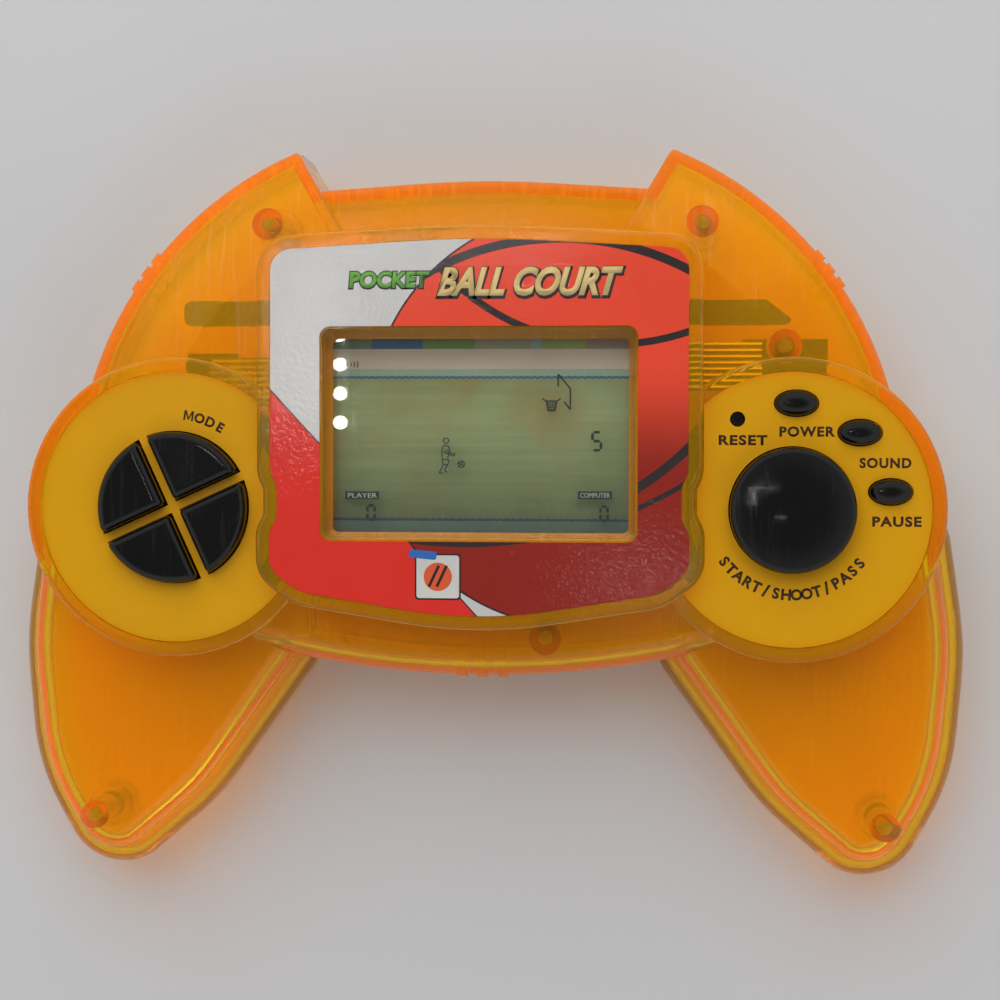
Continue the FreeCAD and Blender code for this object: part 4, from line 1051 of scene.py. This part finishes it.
# %% Hoop, sound sign and digits
hoop = polyline([(11.88, 20.0), (11.88, 21.9), (13.75, 19.7), (13.75, 16.5), (12.8, 17.7)], 0.24)
hoop += polyline([(9.45, 18.2), (10.0, 17.8), (11.75, 17.8), (12.3, 18.2)], 0.2)
hoop += polyline([(10.05, 17.8), (10.35, 16.3), (11.4, 16.3), (11.7, 17.8)], 0.18)
for k in range(4):
    hoop += polyline([(10.15 + 0.07 * k, 17.5 - 0.33 * k), (11.6 - 0.07 * k, 17.5 - 0.33 * k)], 0.13)
    hoop += polyline([(10.25 + 0.42 * k, 17.75), (10.45 + 0.28 * k, 16.35)], 0.1)

sound_sign = ring_of_strokes(-20.7, 23.4, 0.13, 0.24, 8)
for k in range(3):
    x, half = -20.0 + 0.5 * k, 0.22 + 0.13 * k
    sound_sign += polyline([(x - 0.12, 23.4 + half), (x + 0.06, 23.4), (x - 0.12, 23.4 - half)], 0.17)

digits = digit(x=17.15, y=10.3, wide=1.3, tall=2.75, lit="afgcd")
digits += digit(x=-17.5, y=-0.5, wide=1.1, tall=2.2, lit="abcdef")
digits += digit(x=18.4, y=-0.45, wide=1.1, tall=2.15, lit="abcdef")
display_strokes = figure + hoop + sound_sign + digits
keep("display_segments", set_down(joined(display_strokes), 0, 0, SEGMENT_Z), segment_ink,
     slot_name="lcd_glass")
print("display strokes:", len(display_strokes))

# %% [markdown]
# ## Name plates on the display
#
# Two small dark plates with light words. The word is a thin light piece just above its dark plate.

# %% Plates with words
word_light = simple_finish("word_light", (0.40, 0.43, 0.30), roughness=(0.5, 0.6), grain_mm=0.2)
# Name, word, left and right edge, lower and upper edge, in millimetres.
PLATES = (("player_plate", "PLAYER", -20.93, -15.72, 2.65, 3.87),
          ("computer_plate", "COMPUTER", 14.94, 20.18, 2.81, 4.02))
PLATE_MARGIN = 0.35
PLATE_WORD_TALL = 0.72
for name, words, x0, x1, y0, y1 in PLATES:
    plate = stroke(x0, (y0 + y1) / 2, x1, (y0 + y1) / 2, y1 - y0)
    keep(name, set_down(plate, 0, 0, SEGMENT_Z), segment_ink, slot_name="lcd_glass")
    word = fitted_words(words, x0 + PLATE_MARGIN, x1 - PLATE_MARGIN, (y0 + y1) / 2,
                        PLATE_WORD_TALL, SEGMENT_Z + 0.017 * MM, bold=0.0, slant=0.0, thick=0.01)
    keep(name + "_word", word, word_light, slot_name="lcd_glass")
print("display finished with", len(PLATES), "plates")

# %% [markdown]
# ## Finishing the badge
#
# Two slanting dark stripes cross the badge's ball, and a blue tab overlaps its upper left corner.

# %% Stripes and tab on the badge
stripes = [stroke(BADGE[0] - 1.35 + dx, BADGE[1] - 1.5, BADGE[0] + 0.15 + dx, BADGE[1] + 1.7, 0.42)
           for dx in (0.0, 1.2)]
keep("badge_stripes", set_down(joined(stripes), 0, 0, TITLE_Z + 3 * INK_STEP), outline_ink)
tab = stroke(BADGE[0] - 4.4, BADGE[1] + 3.55, BADGE[0] - 0.2, BADGE[1] + 3.15, width=1.25,
             pointed=0.25)
keep("badge_tab", set_down(tab, 0, 0, TITLE_Z + 2 * INK_STEP), badge_blue)
print("badge finished with", len(stripes), "stripes")

# %% [markdown]
# ## The floor
#
# The game lies on a pale, plain table, which is not part of the object. It starts a fraction of a
# millimetre below the game, so that the two faces don't fight.

# %% The floor
FLOOR_HALF = 6.0
FLOOR_GAP = 0.0004
work = bmesh.new()
bmesh.ops.create_grid(work, x_segments=2, y_segments=2, size=FLOOR_HALF)
floor_mesh = bpy.data.meshes.new("floor")
work.to_mesh(floor_mesh)
work.free()
floor = bpy.data.objects.new("floor", floor_mesh)
floor.location = (0, 0, -FLOOR_GAP)
scene.collection.objects.link(floor)
floor_mesh.materials.append(simple_finish("floor_paper", (0.62, 0.62, 0.63), roughness=(0.7, 0.8),
                                          grain_mm=3.0, depth_mm=0.02, patch_mm=250.0, tint=0.97))
print("floor, half width", FLOOR_HALF)

# %% [markdown]
# ## The world
#
# The light is soft, as in a light tent: a pale, even world. It is dimmer straight overhead, because
# every level face mirrors that part of it.

# %% The world
world = bpy.data.worlds.new("tent")
world.use_nodes = True
tree = world.node_tree
tent = tree.nodes["Background"]
tent.inputs["Color"].default_value = (0.97, 0.985, 1.0, 1.0)
place = add(tree, "ShaderNodeTexCoord")
axes = add(tree, "ShaderNodeSeparateXYZ")
height = add(tree, "ShaderNodeMapRange", "dimmer overhead", interpolation_type="SMOOTHSTEP",
             From_Min=0.70, From_Max=0.95, To_Min=0.53, To_Max=0.12)
tree.links.new(place.outputs["Generated"], axes.inputs[0])
tree.links.new(axes.outputs["Z"], height.inputs["Value"])
tree.links.new(height.outputs["Result"], tent.inputs["Strength"])
scene.world = world
scene.view_settings.view_transform = "Standard"
print("world", world.name)

# %% [markdown]
# ## The lamps
#
# A large softbox behind the game and a small one in front add to the even brightness. They are
# hidden from mirror reflections, which would show them as hard squares. Rows of tiny lamps beside
# the camera do show: as dots in the window and as glints on the keys and the printed face.

# %% Softboxes and rows of tiny lamps
def lamp(name, place, aim, size, watts, shape="SQUARE"):
    data = bpy.data.lights.new(name, "AREA")
    data.shape = shape
    data.size = size
    data.energy = watts
    light = bpy.data.objects.new(name, data)
    light.location = place
    light.rotation_euler = (Vector(aim) - Vector(place)).to_track_quat("-Z", "Y").to_euler()
    scene.collection.objects.link(light)
    return light


SOFTBOXES = (("rear_softbox", (-0.12, 0.95, 0.90), 1.6, 15.6),
             ("front_softbox", (0.35, -0.75, 0.70), 0.6, 1.15))
for name, place, size, watts in SOFTBOXES:
    lamp(name, place, (0, 0, 0), size, watts).visible_glossy = False

# Tiny lamps: a corner at the left and rear, one more row at the left, a short one at the front.
ROW_STEP = 0.0090
ROW_CORNER = (-0.0736, 0.0716)
ROW_Z = 0.345
ROW_WATTS = 0.0012
REAR_WATTS = 0.0009
FRONT_WATTS = 0.0005
OUTER_SHIFT = 0.0150
FRONT_START = (0.0060, -0.0300)
LAMP_WIDE = 0.004
row = [(ROW_CORNER[0], ROW_CORNER[1] - ROW_STEP * k, ROW_WATTS) for k in range(7)]
row += [(ROW_CORNER[0] + ROW_STEP * k, ROW_CORNER[1], REAR_WATTS) for k in range(1, 9)]
row += [(ROW_CORNER[0] - OUTER_SHIFT, ROW_CORNER[1] - ROW_STEP * k, ROW_WATTS) for k in range(7)]
row += [(FRONT_START[0] + ROW_STEP * k, FRONT_START[1], FRONT_WATTS) for k in range(4)]
for k, (x, y, watts) in enumerate(row):
    lamp(f"row_lamp_{k}", (x, y, ROW_Z), (x / 3, y / 3, 0.02), LAMP_WIDE, watts, shape="DISK")
